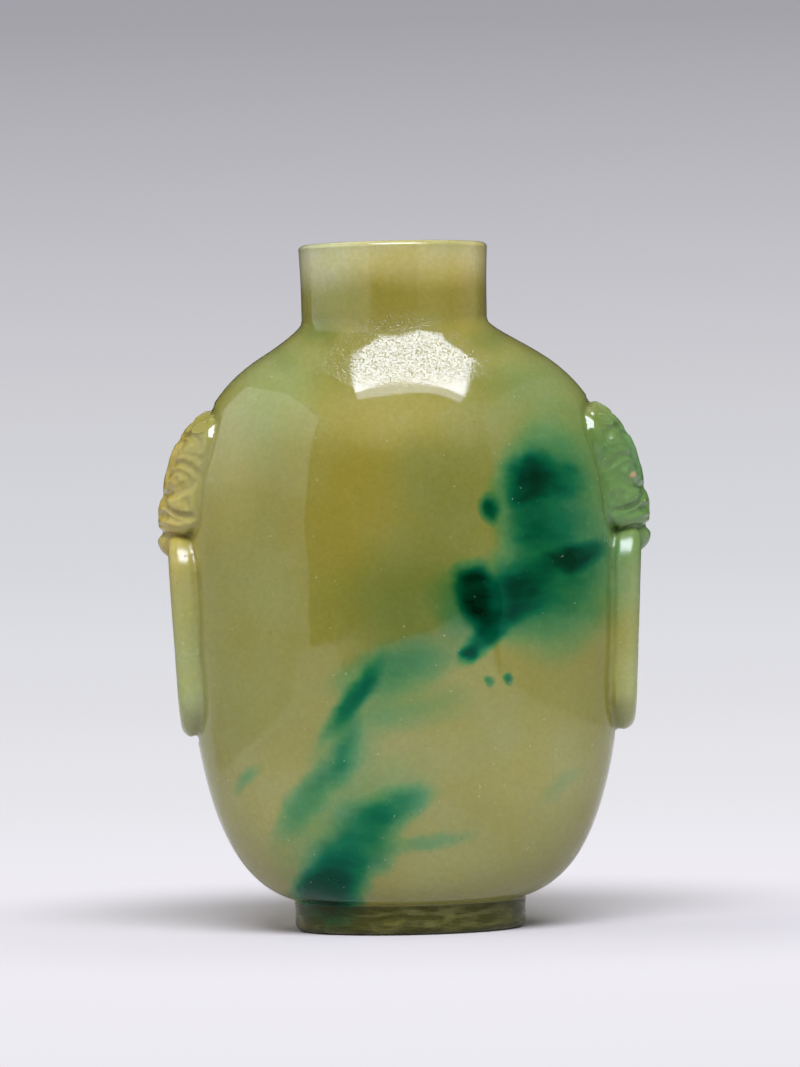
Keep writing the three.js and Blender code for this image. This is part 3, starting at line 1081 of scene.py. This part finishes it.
@dataclass(frozen=True)
class Inclusion:
    """A cloud of colour in the stone, or of painted light or shade: an ellipsoid around a place, its long axis
    tilted to the right.
    """

    tint: Tint
    place: Triple
    half_sizes: Triple
    tilt: float = 0.0
    strength: float = 1.0
    softness: float = 0.5
    edge: float = 0.9

    def clear_share(self, canvas: NodeCanvas, place: Socket) -> Socket:
        """Find how much of the ground is left clear of the cloud, from 0 to 1.

        Args:
            canvas: The material's tree.
            place: The places in millimetres.

        Returns:
            The clear share.
        """
        turn = (0, -math.radians(self.tilt), 0)
        inputs = {"Vector": place, "Location": self.place, "Rotation": turn, "Scale": self.half_sizes}
        local = canvas.add("ShaderNodeMapping", inputs, vector_type="TEXTURE").outputs[0]
        fade = self.softness * self.edge
        return canvas.ramp(canvas.vector("LENGTH", local)["Value"], 1 - fade, 1 + fade, 1 - self.strength)


@dataclass(frozen=True)
class Pattern:
    """A noise in the stone, eased between two of its values to a lowest and a highest share."""

    scale: float
    detail: float
    roughness: float
    low: float = 0.35
    high: float = 0.7
    to_low: float = 0.0
    to_high: float = 1.0

    def plain(self, canvas: NodeCanvas, place: Socket) -> Socket:
        """Read the noise at places in the stone."""
        return canvas.noise(place, self.scale, self.detail, self.roughness).outputs["Fac"]

    def eased(self, canvas: NodeCanvas, place: Socket) -> Socket:
        """Read the eased noise at places in the stone."""
        return canvas.ramp(self.plain(canvas, place), self.low, self.high, self.to_low, self.to_high)


# The clouds of each tint: x, y and z of the middle, the half-sizes, the tilt, the strength and the softness. Rows
# that paint light or shade are marked.
CLOUDS = {
    Tint.EMERALD: (
        (12.1, -10, 36, 3.47, 6, 4.79, 0, 0.42, 0.75), (12.3, -10, 29.8, 5.45, 6, 3.31, 25, 0.42, 0.75),
        (13.7, -10, 27.7, 3.97, 6, 3.31, 20, 0.26, 1), (14.8, -10, 39.9, 4.13, 6, 3.31, 20, 0.12, 1),
        (13.3, -10, 45.8, 4.96, 6, 3.47, 0, 0.06, 1), (16.5, -10, 33.5, 2.15, 6, 5.79, 0, 0.2, 1),
        (10.6, -10, 37.7, 2.15, 6, 1.82, 70, 0.9, 0.6), (13.4, -10, 37.8, 1.82, 6, 1.32, 10, 0.5, 0.9),
        (11.1, -10, 33.9, 2.15, 6, 1.49, 20, 0.42, 0.8), (7.5, -10, 35.5, 0.74, 4, 0.91, 0, 0.78, 0.8),
        (14.6, -10, 31.3, 3.47, 6, 1.07, 8, 0.9, 0.5), (9.8, -10, 28.8, 2.23, 6, 1.98, 0, 0.7, 0.8),
        (6.1, -10, 28.4, 1.57, 6, 2.48, 15, 0.93, 0.55), (4.5, -10, 27.5, 1.65, 6, 2.15, 20, 0.22, 1),
        (7.2, -10, 25.4, 3.14, 6, 1.07, 45, 0.62, 0.6), (5.2, -10, 23.4, 0.74, 4, 0.74, 0, 0.62, 0.7),
        (8.2, -10, 21.5, 0.37, 4, 0.37, 0, 0.5, 0.6), (6.7, -10, 21.3, 0.33, 4, 0.33, 0, 0.4, 0.8),
        (-4.3, -10, 20.2, 3.31, 6, 0.74, 55, 0.62, 0.8), (-0.9, -10, 22.6, 3.64, 6, 1.65, 15, 0.32, 1),
        (0.5, -10, 19.2, 3.31, 6, 1.32, 10, 0.1, 1), (-5.1, -10, 16.1, 0.74, 4, 2.15, -12, 0.34, 1),
        (-7.7, -10, 12.1, 3.8, 6, 1.16, 47, 0.32, 0.9), (-13.6, -10, 13.5, 0.5, 4, 1.24, -50, 0.25, 1),
        (-1.4, -10, 11, 2.64, 6, 1.4, 20, 0.4, 0.75), (-3.9, -10, 8.1, 2.81, 6, 2.15, 50, 0.46, 0.75),
        (-6, -10, 5.1, 2.15, 12, 2.31, 20, 0.72, 0.7), (-7.2, -10, 3.2, 2.48, 12, 2.15, 0, 0.93, 0.6),
        (1.7, -10, 8, 2.48, 6, 0.5, 5, 0.14, 1), (-5.3, -10, 9.1, 5.79, 6, 2.98, 40, 0.14, 1),
        (-4.7, -10, 17, 4.13, 6, 1.82, 55, 0.12, 1), (-9.1, -10, 4.4, 0.33, 12, 0.33, 0, 0.3, 0.8),
        (12.7, -10, 12.4, 1.82, 6, 0.58, 40, 0.06, 1), (19.9, 0, 38.5, 3.4, 9, 9, 0, 0.12, 1),
        (-7.5, 9.5, 33, 3.6, 6, 1.6, -35, 0.7, 0.8), (-11, 9, 38.5, 2.4, 6, 1.3, -60, 0.5, 0.8),
        (-2, 9.5, 28, 3.6, 6, 0.8, -40, 0.4, 0.9), (-8, 9.5, 34.5, 6.5, 8, 5, -35, 0.22, 1),
        (-2.5, 9.5, 27.5, 6, 8, 2.6, -38, 0.14, 1), (5.5, 9.5, 14, 2.6, 6, 1.2, 40, 0.45, 0.8),
        (8.6, 9, 18.5, 2.2, 6, 0.6, 55, 0.3, 0.8), (6, 9.5, 13, 5, 7, 4, 30, 0.18, 1),
    ),
    Tint.OLIVE: (
        (0.7, -10, 27.8, 5.5, 7, 4.1, 0, 0.8, 0.9), (4.1, -10, 35.8, 3.3, 7, 5, 0, 0.35, 1),
        (-7, -10, 50.7, 1.7, 7, 1.2, 0, 1, 1), (7.8, -10, 49.9, 1.6, 7, 1.2, 0, 1, 1),
        (-9.5, -10, 48.7, 1.3, 7, 1, 0, 0.5, 1),
    ),
    Tint.OCHRE: (
        (-4.7, -10, 37.2, 3.5, 7, 6.2, 0, 0.6, 1), (4.5, -10, 53.6, 2.5, 7, 2.5, 0, 1, 1),
        (-0.2, -10, 52.8, 5.8, 7, 3.3, 0, 0.55, 1), (-20.3, 0, 39, 3, 9, 7, 0, 0.55, 0.8),
        (4, 9.5, 36, 6, 6, 7, 0, 0.5, 1),
    ),
    Tint.CREAM: (
        # The two on this line paint glow on the neck's right and left edges, where light shines through the thin
        # stone.
        (8.2, -10, 53.9, 2.5, 7, 5, 0, 0.75, 0.9), (-8.7, -10, 53.9, 2, 7, 4.1, 0, 0.35, 0.9),
        (0, -10, 43.7, 6.2, 7, 2.5, 0, 0.42, 1), (-15.4, -10, 40.8, 2.5, 7, 6.6, 0, 0.28, 1),
        (-20.3, 0, 38, 3.2, 9, 9, 0, 0.48, 0.8),
    ),
    Tint.MINT: (
        # These two lighten the shoulders: partly a mint tone in the stone, partly painted light falling from
        # above.
        (-10.9, -10, 46, 4.1, 7, 4.1, 0, 0.7, 1), (13.7, -10, 45.5, 5, 7, 3.7, 0, 0.3, 1),
        # The first on this line paints glow on the neck's left side over a mint tone; the second tints the right
        # mask.
        (-6.5, -10, 55.5, 2.8, 7, 4.1, 0, 0.45, 1), (20.4, 0, 37, 3.2, 9, 12, 0, 0.3, 0.8),
        (20, 0, 18, 2.2, 9, 5, 0, 0.5, 0.8), (-19.3, 0, 20, 2.2, 9, 7, 0, 0.5, 0.8),
        (9, 9, 43, 7, 6, 5, 0, 0.5, 1),
    ),
    Tint.PALE: (
        (3.5, -10, 13.9, 10.7, 7, 7.4, 0, 0.35, 1), (13.4, -10, 12, 5, 7, 5, 0, 0.8, 1),
        (-13.1, -10, 10.1, 5.8, 7, 5, 0, 0.9, 1), (3.3, -10, 5.2, 9.9, 12, 2.5, 0, 0.35, 1),
        # These two paint a whitish lit sheen on the lower parts of the rings, over pale streaks in the stone.
        (20, 0, 21, 2.6, 9, 9, 0, 0.9, 0.8), (-19.6, 0, 24, 3, 9, 10, 0, 0.7, 0.8),
        (-1, 9.5, 14, 12, 6, 8, 0, 0.5, 1),
    ),
    # Painted glow along the lip.
    Tint.PAINTED_LIP_GLOW: (
        (0, 0, 56.9, 30, 30, 1.9, 0, 1, 1),
    ),
    # Painted shade inside a drilled pit on the left handle.
    Tint.PAINTED_PIT_SHADE: (
        (-18.5, -3, 32.2, 0.16, 1.2, 0.16, 0, 1, 0.5),
    ),
    Tint.RUST: (
        (19.6, -2.8, 38.1, 0.25, 1.2, 0.2, 0, 0.9, 0.6),
    ),
}

INCLUSIONS = tuple(
    Inclusion(tint, row[:3], row[3:6], *row[6:]) for tint, rows in CLOUDS.items() for row in rows
)

# How much of the ground's red, green and blue is left in ever denser emerald.
EMERALD_DEPTHS = (
    (0.0, (1.0, 1.0, 1.0, 1)),
    (0.1, (0.52, 0.92, 1.05, 1)),
    (0.22, (0.27, 0.8, 1.05, 1)),
    (0.38, (0.12, 0.62, 0.9, 1)),
    (0.52, (0.02, 0.45, 0.72, 1)),
    (0.68, (0.0, 0.28, 0.5, 1)),
    (0.84, (0.0, 0.12, 0.22, 1)),
    (1.0, (0.0, 0.045, 0.04, 1)),
)


@dataclass(frozen=True)
class Jadeite:
    """Polished jadeite: an olive ground with clouds of emerald, mint and ochre, with painted glow, sheen and shade
    in places.
    """

    name: str = "jadeite"
    ground: Colour = (0.196, 0.182, 0.028, 1)
    pale_ground: Colour = (0.2, 0.198, 0.045, 1)
    grain_tint: Colour = (1.2, 1.18, 1.35, 1)
    fleck: Colour = (0.5, 0.5, 0.33, 1)
    pit: Colour = (0.09, 0.06, 0.01, 1)
    # Painted shade: the near-black colour laid on the foot's side for the shade under the overhanging body.
    painted_foot_shade: Colour = (0.018, 0.021, 0.003, 1)
    reflected_tint: Colour = (0.1, 0.8, 0.5, 1)
    foot_reflected_tint: Colour = (0.25, 0.25, 0.14, 1)
    # How much of the painted foot shade is laid on.
    painted_foot_shade_strength: float = 0.87
    foot_roughness: float = 0.3
    handle_roughness: float = 0.22
    index_of_refraction: float = 1.66
    glow_weight: float = 0.85
    glow_radius: Triple = (0.9, 1.0, 0.5)
    glow_depth: float = 0.0005
    streak_tilt: float = 38.0
    streak_scale: Triple = (0.4, 1, 1.5)
    inclusions: tuple[Inclusion, ...] = INCLUSIONS
    scuff: Inclusion = Inclusion(Tint.PALE, (0.5, -10, 49.2), (7.5, 9, 2.6), 0, 1, 0.5)
    scuff_roughness: float = 0.01
    full_emerald: float = 0.55
    broad_warp: Pair = (0.18, 1.1)
    fine_warp: Pair = (0.7, 0.35)
    pit_warp: Pair = (0.9, 2.0)
    polish: Pattern = Pattern(0.5, 3, 0.6, 0.3, 0.75, 0.022, 0.057)
    mottling: Pattern = Pattern(0.13, 3, 0.55, 0.35, 0.68)
    streaks: Pattern = Pattern(0.45, 2, 0.5, 0.3, 0.7, 0.86, 1.1)
    grain: Pattern = Pattern(2.2, 4, 0.7, 0.35, 0.7, 0, 0.6)
    flecks: Pattern = Pattern(2.6, 1, 0.5, 0.75, 0.81, 0, 0.35)
    pits: Pattern = Pattern(3.4, 1, 0.5, 0.75, 0.79, 0, 0.6)
    foot_wear: Pattern = Pattern(0.55, 3, 0.6, 0.35, 0.6, 0.7, 1)
    ripple: Pattern = Pattern(0.7, 3, 0.5)
    marks: Pattern = Pattern(3.5, 3, 0.65)
    scratches: Pattern = Pattern(5, 2, 0.6, 0.54, 0.66, 0, 9)
    foot_marks: Pattern = Pattern(3, 3, 0.7)
    ripple_height: float = 0.5
    mark_height: float = 0.3
    scuffed_height: float = 0.9
    foot_mark_height: float = 3.0
    foot_wear_height: float = 4.0
    mark_flatness: float = 2.5
    bump_strength: float = 0.3
    bump_distance: float = 0.000008
    foot_top: Pair = (2.4, 2.6)
    handle_out: Pair = (16.4, 16.9)
    handle_aside: Pair = (4.6, 5.1)
    handle_above: Pair = (15.4, 16.2)

    def build(self) -> Material:
        """Make the material."""
        material = bpy.data.materials.new(self.name)
        material.use_nodes = True
        canvas = NodeCanvas(material.node_tree)
        place = canvas.stretched(canvas.add("ShaderNodeTexCoord").outputs["Object"], (1 / METRES_PER_MM,) * 3)
        foot = self.foot_share(canvas, place)
        # Painted shade on the foot's side, following the foot's share.
        painted_foot_shade_share = canvas.math("MULTIPLY", foot, self.painted_foot_shade_strength)
        scuffed = self.shares(canvas, place, [self.scuff])
        roughness = self.polish.eased(canvas, place)
        for share, extra in (
            (foot, self.foot_roughness),
            (self.handle_share(canvas, place), self.handle_roughness),
            (scuffed, self.scuff_roughness),
        ):
            roughness = canvas.math("MULTIPLY_ADD", share, extra, roughness)
        emerald = canvas.ramp(self.density(canvas, place, Tint.EMERALD), 0, self.full_emerald)
        reflected = canvas.blend(emerald, (1, 1, 1, 1), self.reflected_tint)
        inputs = {
            # The foot's side is darkened nearly to black: painted shade under the overhanging body and in the
            # thick stone.
            "Base Color": canvas.blend(painted_foot_shade_share, self.colour(canvas, place), self.painted_foot_shade),
            "Specular Tint": canvas.blend(foot, reflected, self.foot_reflected_tint),
            "Roughness": roughness,
            "IOR": self.index_of_refraction,
            "Subsurface Weight": self.glow_weight,
            "Subsurface Radius": self.glow_radius,
            "Subsurface Scale": self.glow_depth,
            "Normal": self.surface(canvas, place, foot, scuffed),
        }
        shader = canvas.add("ShaderNodeBsdfPrincipled", inputs, subsurface_method="RANDOM_WALK")
        canvas.add("ShaderNodeOutputMaterial", {"Surface": shader.outputs["BSDF"]})
        return material

    def density(self, canvas: NodeCanvas, place: Socket, tint: Tint) -> Socket:
        """Find how dense a tint is, from 0 to 1."""
        clouds = [inclusion for inclusion in self.inclusions if inclusion.tint is tint]
        return self.shares(canvas, place, clouds)

    def shares(self, canvas: NodeCanvas, place: Socket, inclusions: list[Inclusion]) -> Socket:
        """Add up inclusions.

        Args:
            canvas: The material's tree.
            place: The places in millimetres.
            inclusions: The inclusions.

        Returns:
            How dense they are, from 0 to 1.
        """
        clear, *others = (inclusion.clear_share(canvas, place) for inclusion in inclusions)
        for other in others:
            clear = canvas.math("MULTIPLY", clear, other)
        return canvas.math("SUBTRACT", 1.0, clear)

    def colour(self, canvas: NodeCanvas, place: Socket) -> Socket:
        """Paint the stone.

        Args:
            canvas: The material's tree.
            place: The places in millimetres.

        Returns:
            The base colour.
        """
        colour = canvas.blend(self.mottling.eased(canvas, place), self.ground, self.pale_ground)
        broad = canvas.warped(place, *self.broad_warp)
        for tint in Tint:
            if tint is not Tint.EMERALD:
                colour = canvas.tinted(self.density(canvas, broad, tint), colour, tint.value)
        density = self.density(canvas, canvas.warped(broad, *self.fine_warp), Tint.EMERALD)
        along = canvas.stretched(broad, self.streak_scale, self.streak_tilt)
        density = canvas.math("MULTIPLY", density, self.streaks.eased(canvas, along))
        colour = canvas.tinted(1.0, colour, canvas.graded(density, EMERALD_DEPTHS))
        colour = canvas.tinted(self.grain.eased(canvas, place), colour, self.grain_tint)
        colour = canvas.blend(self.flecks.eased(canvas, place), colour, self.fleck)
        return canvas.blend(self.pits.eased(canvas, canvas.warped(place, *self.pit_warp)), colour, self.pit)

    def foot_share(self, canvas: NodeCanvas, place: Socket) -> Socket:
        """Find where the foot's side is left unpolished and is painted in shade, from 0 to 1."""
        patches = self.foot_wear.eased(canvas, canvas.stretched(place, (1, 1, self.foot_wear_height)))
        return canvas.math("MULTIPLY", canvas.ramp(canvas.parts(place)["Z"], *self.foot_top, 1, 0), patches)

    def handle_share(self, canvas: NodeCanvas, place: Socket) -> Socket:
        """Find the carved handles at both sides, which are polished less, from 0 to 1."""
        parts = canvas.parts(place)
        out = canvas.ramp(canvas.math("ABSOLUTE", parts["X"]), *self.handle_out)
        near = canvas.ramp(canvas.math("ABSOLUTE", parts["Y"]), *self.handle_aside, 1, 0)
        above = canvas.ramp(parts["Z"], *self.handle_above)
        return canvas.math("MULTIPLY", canvas.math("MULTIPLY", out, near), above)

    def surface(self, canvas: NodeCanvas, place: Socket, foot: Socket, scuffed: Socket) -> Socket:
        """Give the polished surface its faint unevenness, fine marks and scratches.

        Args:
            canvas: The material's tree.
            place: The places in millimetres.
            foot: Where the foot is left unpolished.
            scuffed: Where the stone is scuffed.

        Returns:
            The bumped normal.
        """
        level = canvas.stretched(place, (1, 1, self.mark_flatness))
        mark_share = canvas.math("MULTIPLY_ADD", scuffed, self.scuffed_height, self.mark_height)
        layers = (
            (self.marks.plain(canvas, level), mark_share),
            (self.scratches.eased(canvas, level), scuffed),
            (self.foot_marks.plain(canvas, place), canvas.math("MULTIPLY", foot, self.foot_mark_height)),
        )
        height = canvas.math("MULTIPLY", self.ripple.plain(canvas, place), self.ripple_height)
        for layer, share in layers:
            height = canvas.math("MULTIPLY_ADD", layer, share, height)
        inputs = {"Strength": self.bump_strength, "Distance": self.bump_distance, "Height": height}
        return canvas.add("ShaderNodeBump", inputs).outputs["Normal"]


# ---------- bottle


SMOOTH_AXES = {"use_axis_x": True, "use_axis_y": True, "use_axis_z": True}


@dataclass(frozen=True)
class SnuffBottle:
    """The whole bottle, joined into one piece of stone."""

    vessel: Vessel = Vessel()
    lean: Lean = Lean()
    crease_angle: float = math.radians(22)
    crease_reach: float = 0.55
    groove_depth: float = 0.22
    crease_rounds: int = 6
    handles_out: float = 12.0
    handles_up: float = 10.0
    weld: float = 0.004
    edge_angle: float = math.radians(50)

    def build(self, finish: Material) -> Object:
        """Make the bottle and put it in the frame.

        Args:
            finish: The material of the stone.

        Returns:
            The finished piece, in metres.
        """
        whole = self.vessel.build()
        log.info("vessel: %d faces", len(whole.data.polygons))
        handle = Handle(MaskRelief(self.vessel))
        solids = [solid for side in Side for solid in handle.build(side, finish)]
        stone = self.join(whole, solids)
        self.soften(stone)
        self.bend(stone)
        piece = link_object("snuff_bottle", stone)
        stone.materials.clear()
        stone.materials.append(finish)
        stone.transform(Matrix.Scale(METRES_PER_MM, 4))
        stone.shade_smooth()
        stone.set_sharp_from_angle(angle=self.edge_angle)
        log.info("snuff_bottle: %d faces", len(stone.polygons))
        return piece

    def join(self, whole: Object, solids: list[Object]) -> Mesh:
        """Join the vessel and the handles' solids into one closed mesh.

        Args:
            whole: The vessel.
            solids: The closed solids of both handles.

        Returns:
            The joined mesh.
        """
        for solid in solids:
            union = whole.modifiers.new(solid.name, "BOOLEAN")
            union.operation = "UNION"
            union.solver = "MANIFOLD"
            union.object = solid
        stone = evaluated_mesh(whole)
        for source in [whole, *solids]:
            bpy.data.objects.remove(source)
        return stone

    def soften(self, stone: Mesh) -> None:
        """Round the creases where the handles meet the body, as the carver's tools leave them."""
        shape = bmesh.new()
        shape.from_mesh(stone)
        bmesh.ops.remove_doubles(shape, verts=shape.verts, dist=self.weld)
        creases = [
            vertex.co.copy()
            for edge in shape.edges
            if edge.is_manifold and edge.calc_face_angle_signed() < -self.crease_angle
            for vertex in edge.verts
            if vertex.co.z > self.handles_up and abs(vertex.co.x) > self.handles_out
        ]
        tree = KDTree(len(creases))
        for index, place in enumerate(creases):
            tree.insert(place, index)
        tree.balance()
        sides = [vertex for vertex in shape.verts if abs(vertex.co.x) > self.handles_out]
        near = [vertex for vertex in sides if tree.find(vertex.co)[2] < self.crease_reach]
        for turn in range(self.crease_rounds):
            if turn == self.crease_rounds // 2:
                shape.normal_update()
                for vertex in near:
                    share = tree.find(vertex.co)[2] / self.crease_reach
                    vertex.co -= vertex.normal * self.groove_depth * (1 - share * share) ** 2
            bmesh.ops.smooth_vert(shape, verts=near, factor=0.5, **SMOOTH_AXES)
        bmesh.ops.triangulate(shape, faces=[face for face in shape.faces if len(face.verts) > 4])
        shape.to_mesh(stone)
        shape.free()

    def bend(self, stone: Mesh) -> None:
        """Lean the whole stone sideways."""
        points = mesh_points(stone)
        points[:, 0] += self.lean.at(points[:, 2])
        move_points(stone, points)


# ---------- studio


@dataclass(frozen=True)
class Softbox:
    """A rectangular light that shines towards a point and doesn't show itself to the camera."""

    name: str
    place: Triple
    aim: Triple
    width: float
    height: float
    radiance: float
    tint: Triple = (1, 1, 1)
    in_reflections: bool = True

    def build(self) -> None:
        """Hang the light."""
        lamp = bpy.data.lights.new(self.name, "AREA")
        lamp.shape = "RECTANGLE"
        lamp.size = self.width
        lamp.size_y = self.height
        lamp.color = self.tint
        lamp.energy = self.radiance * self.width * self.height * math.pi
        holder = link_object(self.name, lamp)
        holder.location = self.place
        toward = Vector(self.aim) - Vector(self.place)
        holder.rotation_euler = toward.to_track_quat("-Z", "Y").to_euler()
        holder.visible_camera = False
        holder.visible_glossy = self.in_reflections


def paper_shade(shade: Shade) -> Colour:
    """Turn a shade of paper, as display values from 0 to 255, into a linear colour."""
    return (*(((value / 255 + 0.055) / 1.055) ** 2.4 for value in shade), 1)


@dataclass(frozen=True)
class Studio:
    """A pale table with a pale sweep behind it, soft lights, and the camera."""

    table_corners: tuple[Pair, ...] = (
        (-0.3, 0.33),
        (-0.3, 0.06),
        (-0.067, 0.02),
        (-0.105, -0.145),
        (-0.22, -0.32),
        (-0.1, -0.32),
        (-0.03, -0.46),
        (0.17, -0.52),
        (0.12, -0.136),
        (0.104, 0.05),
        (0.33, 0.08),
        (0.33, 0.33),
    )
    lit_radius: float = 0.027
    glow_radius: float = 0.06
    wall_start: float = 0.003
    sweep_middle: float = 0.05
    sweep_steps: int = 40
    sweep_turns: int = 128
    sweep_radius: float = 2.4
    sweep_bend: float = 0.8
    sweep_height: float = 2.2
    drop: float = 0.0002
    table_colour: Colour = (0.515, 0.49, 0.47, 1)
    floor_shades: tuple[tuple[float, Shade], ...] = (
        (0.0, (243, 240, 247)),
        (0.16, (231, 231, 236)),
        (0.4, (224, 224, 229)),
        (1.0, (218, 219, 224)),
        (1.75, (213, 214, 219)),
    )
    wall_shades: tuple[tuple[float, Shade], ...] = (
        (0.021, (212, 213, 218)),
        (0.066, (206, 206, 211)),
        (0.115, (198, 197, 203)),
        (0.166, (188, 187, 193)),
        (0.219, (176, 175, 181)),
        (0.263, (163, 163, 169)),
        (0.6, (140, 140, 146)),
    )
    dim_colour: Colour = (0.5, 0.5, 0.52, 1)
    dim_strength: float = 0.1
    camera_place: Triple = (-0.0006, -0.435, 0.040)
    camera_aim: Triple = (-0.0002, 0.0, 0.0335)
    camera_roll: float = -1.25
    lens: float = 173.3
    sensor: float = 36.0
    clip_start: float = 0.01
    softboxes: tuple[Softbox, ...] = (
        Softbox("side_light_left", (-0.6, -0.345, 0.36), (0, -0.345, 0.36), 1.47, 0.48, 0.8),
        Softbox("side_light_left_skirt", (-0.6, -0.345, -0.12), (0, -0.345, -0.12), 1.47, 0.48, 0.5),
        Softbox("side_light_right", (0.6, -0.345, 0.3), (0, -0.345, 0.3), 1.47, 0.6, 0.3, (0.8, 1, 0.9)),
        Softbox("side_light_right_skirt", (0.6, -0.345, -0.18), (0, -0.345, -0.18), 1.47, 0.36, 0.5),
        Softbox("top_light", (0.08, -0.76, 0.8), (0.08, -0.76, 0), 0.88, 0.8, 12.4, (0.9, 0.92, 1.08)),
        Softbox("top_light_skirt", (0.08, -1.24, 0.8), (0.08, -1.24, 0), 0.88, 0.16, 3.6, (0.9, 0.92, 1.08)),
        Softbox("back_light", (0.0, 0.45, 0.8), (0.0, 0.45, 0), 0.9, 0.5, 0.9),
        Softbox("fill_left", (-0.55, 0.1, 0.6), (0, 0, 0.03), 0.6, 0.6, 1.3, in_reflections=False),
        Softbox("fill_right", (0.55, 0.1, 0.6), (0, 0, 0.03), 0.6, 0.6, 0.45, in_reflections=False),
    )

    def build(self) -> None:
        """Set up the stage, the lights, the surroundings and the camera."""
        for softbox in self.softboxes:
            softbox.build()
            log.info("light: %s", softbox.name)
        self.table()
        self.sweep()
        self.surroundings()
        self.camera()
        bpy.context.scene.view_settings.view_transform = "Standard"

    def shade_by(self, canvas: NodeCanvas, value: Socket, stops: tuple[tuple[float, Shade], ...]) -> Socket:
        """Grade a shade of paper along a distance, up to the last of the stops.

        Args:
            canvas: The material's tree.
            value: The distance.
            stops: The shade at each of some distances.

        Returns:
            The graded colour.
        """
        reach = stops[-1][0]
        shades = tuple((distance / reach, paper_shade(shade)) for distance, shade in stops)
        return canvas.graded(canvas.math("DIVIDE", value, reach), shades)

    def paper(self, name: str) -> Material:
        """Make the paper: lit by the lights around the bottle, and further out a glow of painted light, graded
        darker outward and up the wall.

        Args:
            name: The name of the material.

        Returns:
            The material.
        """
        material = bpy.data.materials.new(name)
        material.use_nodes = True
        canvas = NodeCanvas(material.node_tree)
        parts = canvas.parts(canvas.add("ShaderNodeTexCoord").outputs["Object"])
        flat = canvas.add("ShaderNodeCombineXYZ", {"X": parts["X"], "Y": parts["Y"]}).outputs[0]
        radius = canvas.vector("LENGTH", flat)["Value"]
        floor = self.shade_by(canvas, radius, self.floor_shades)
        wall = self.shade_by(canvas, parts["Z"], self.wall_shades)
        colour = canvas.blend(canvas.ramp(parts["Z"], self.wall_start, self.wall_shades[0][0]), floor, wall)
        # Painted light: the paper glows, brightest near the bottle and darker outward and up the wall.
        glow = canvas.add("ShaderNodeEmission", {"Color": colour, "Strength": 1.0})
        matt = canvas.add("ShaderNodeBsdfDiffuse", {"Color": self.table_colour})
        share = canvas.ramp(radius, self.lit_radius, self.glow_radius)
        mixed = canvas.add("ShaderNodeMixShader", {0: share, 1: matt.outputs[0], 2: glow.outputs[0]})
        canvas.add("ShaderNodeOutputMaterial", {"Surface": mixed.outputs[0]})
        return material

    def table(self) -> None:
        """Lay the uneven card under the bottle, which shows in the polished stone."""
        mesh = bpy.data.meshes.new("table")
        mesh.from_pydata([(x, y, 0) for x, y in self.table_corners], [], [range(len(self.table_corners))])
        mesh.materials.append(self.paper("table_paper"))
        link_object("table", mesh)

    def sweep(self) -> None:
        """Raise the sweep that lies around the table and curves up all round."""
        flat = self.sweep_radius - self.sweep_bend
        profile = [(self.sweep_middle, -self.drop), (flat / 2, -self.drop)]
        for step in range(self.sweep_steps + 1):
            angle = step / self.sweep_steps * math.pi / 2
            rise = self.sweep_bend * (1 - math.cos(angle)) - self.drop
            profile.append((flat + self.sweep_bend * math.sin(angle), rise))
        profile.append((self.sweep_radius, self.sweep_height))
        turns = np.linspace(0, math.tau, self.sweep_turns, endpoint=False)
        points = [(r * math.cos(a), r * math.sin(a), z) for r, z in profile for a in turns]
        faces = [tuple(reversed(face)) for face in grid_faces(len(profile), len(turns))]
        mesh = bpy.data.meshes.new("sweep")
        mesh.from_pydata(points, [], faces)
        mesh.shade_smooth()
        mesh.materials.append(self.paper("sweep_paper"))
        backdrop = link_object("sweep", mesh)
        backdrop.visible_glossy = False
        backdrop.visible_diffuse = False
        backdrop.visible_shadow = False

    def surroundings(self) -> None:
        """Leave the studio around the lights dim."""
        world = bpy.data.worlds.new("studio")
        world.use_nodes = True
        canvas = NodeCanvas(world.node_tree)
        inputs = {"Color": self.dim_colour, "Strength": self.dim_strength}
        dim = canvas.add("ShaderNodeBackground", inputs)
        canvas.add("ShaderNodeOutputWorld", {"Surface": dim.outputs["Background"]})
        bpy.context.scene.world = world

    def camera(self) -> None:
        """Put the camera in front of the broad face."""
        data = bpy.data.cameras.new("camera")
        data.lens = self.lens
        data.sensor_width = self.sensor
        data.clip_start = self.clip_start
        holder = link_object("camera", data)
        holder.location = self.camera_place
        toward = Vector(self.camera_aim) - Vector(self.camera_place)
        turn = toward.to_track_quat("-Z", "Y").to_matrix().to_4x4()
        holder.rotation_euler = (turn @ Matrix.Rotation(math.radians(self.camera_roll), 4, "Z")).to_euler()
        bpy.context.scene.camera = holder


def main() -> None:
    """Build the bottle and the studio."""
    finish = Jadeite().build()
    piece = SnuffBottle().build(finish)
    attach(piece, "root")
    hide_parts("bottle")
    log.info("piece: %s", piece.name)
    Studio().build()


if __name__ == "__main__":
    main()
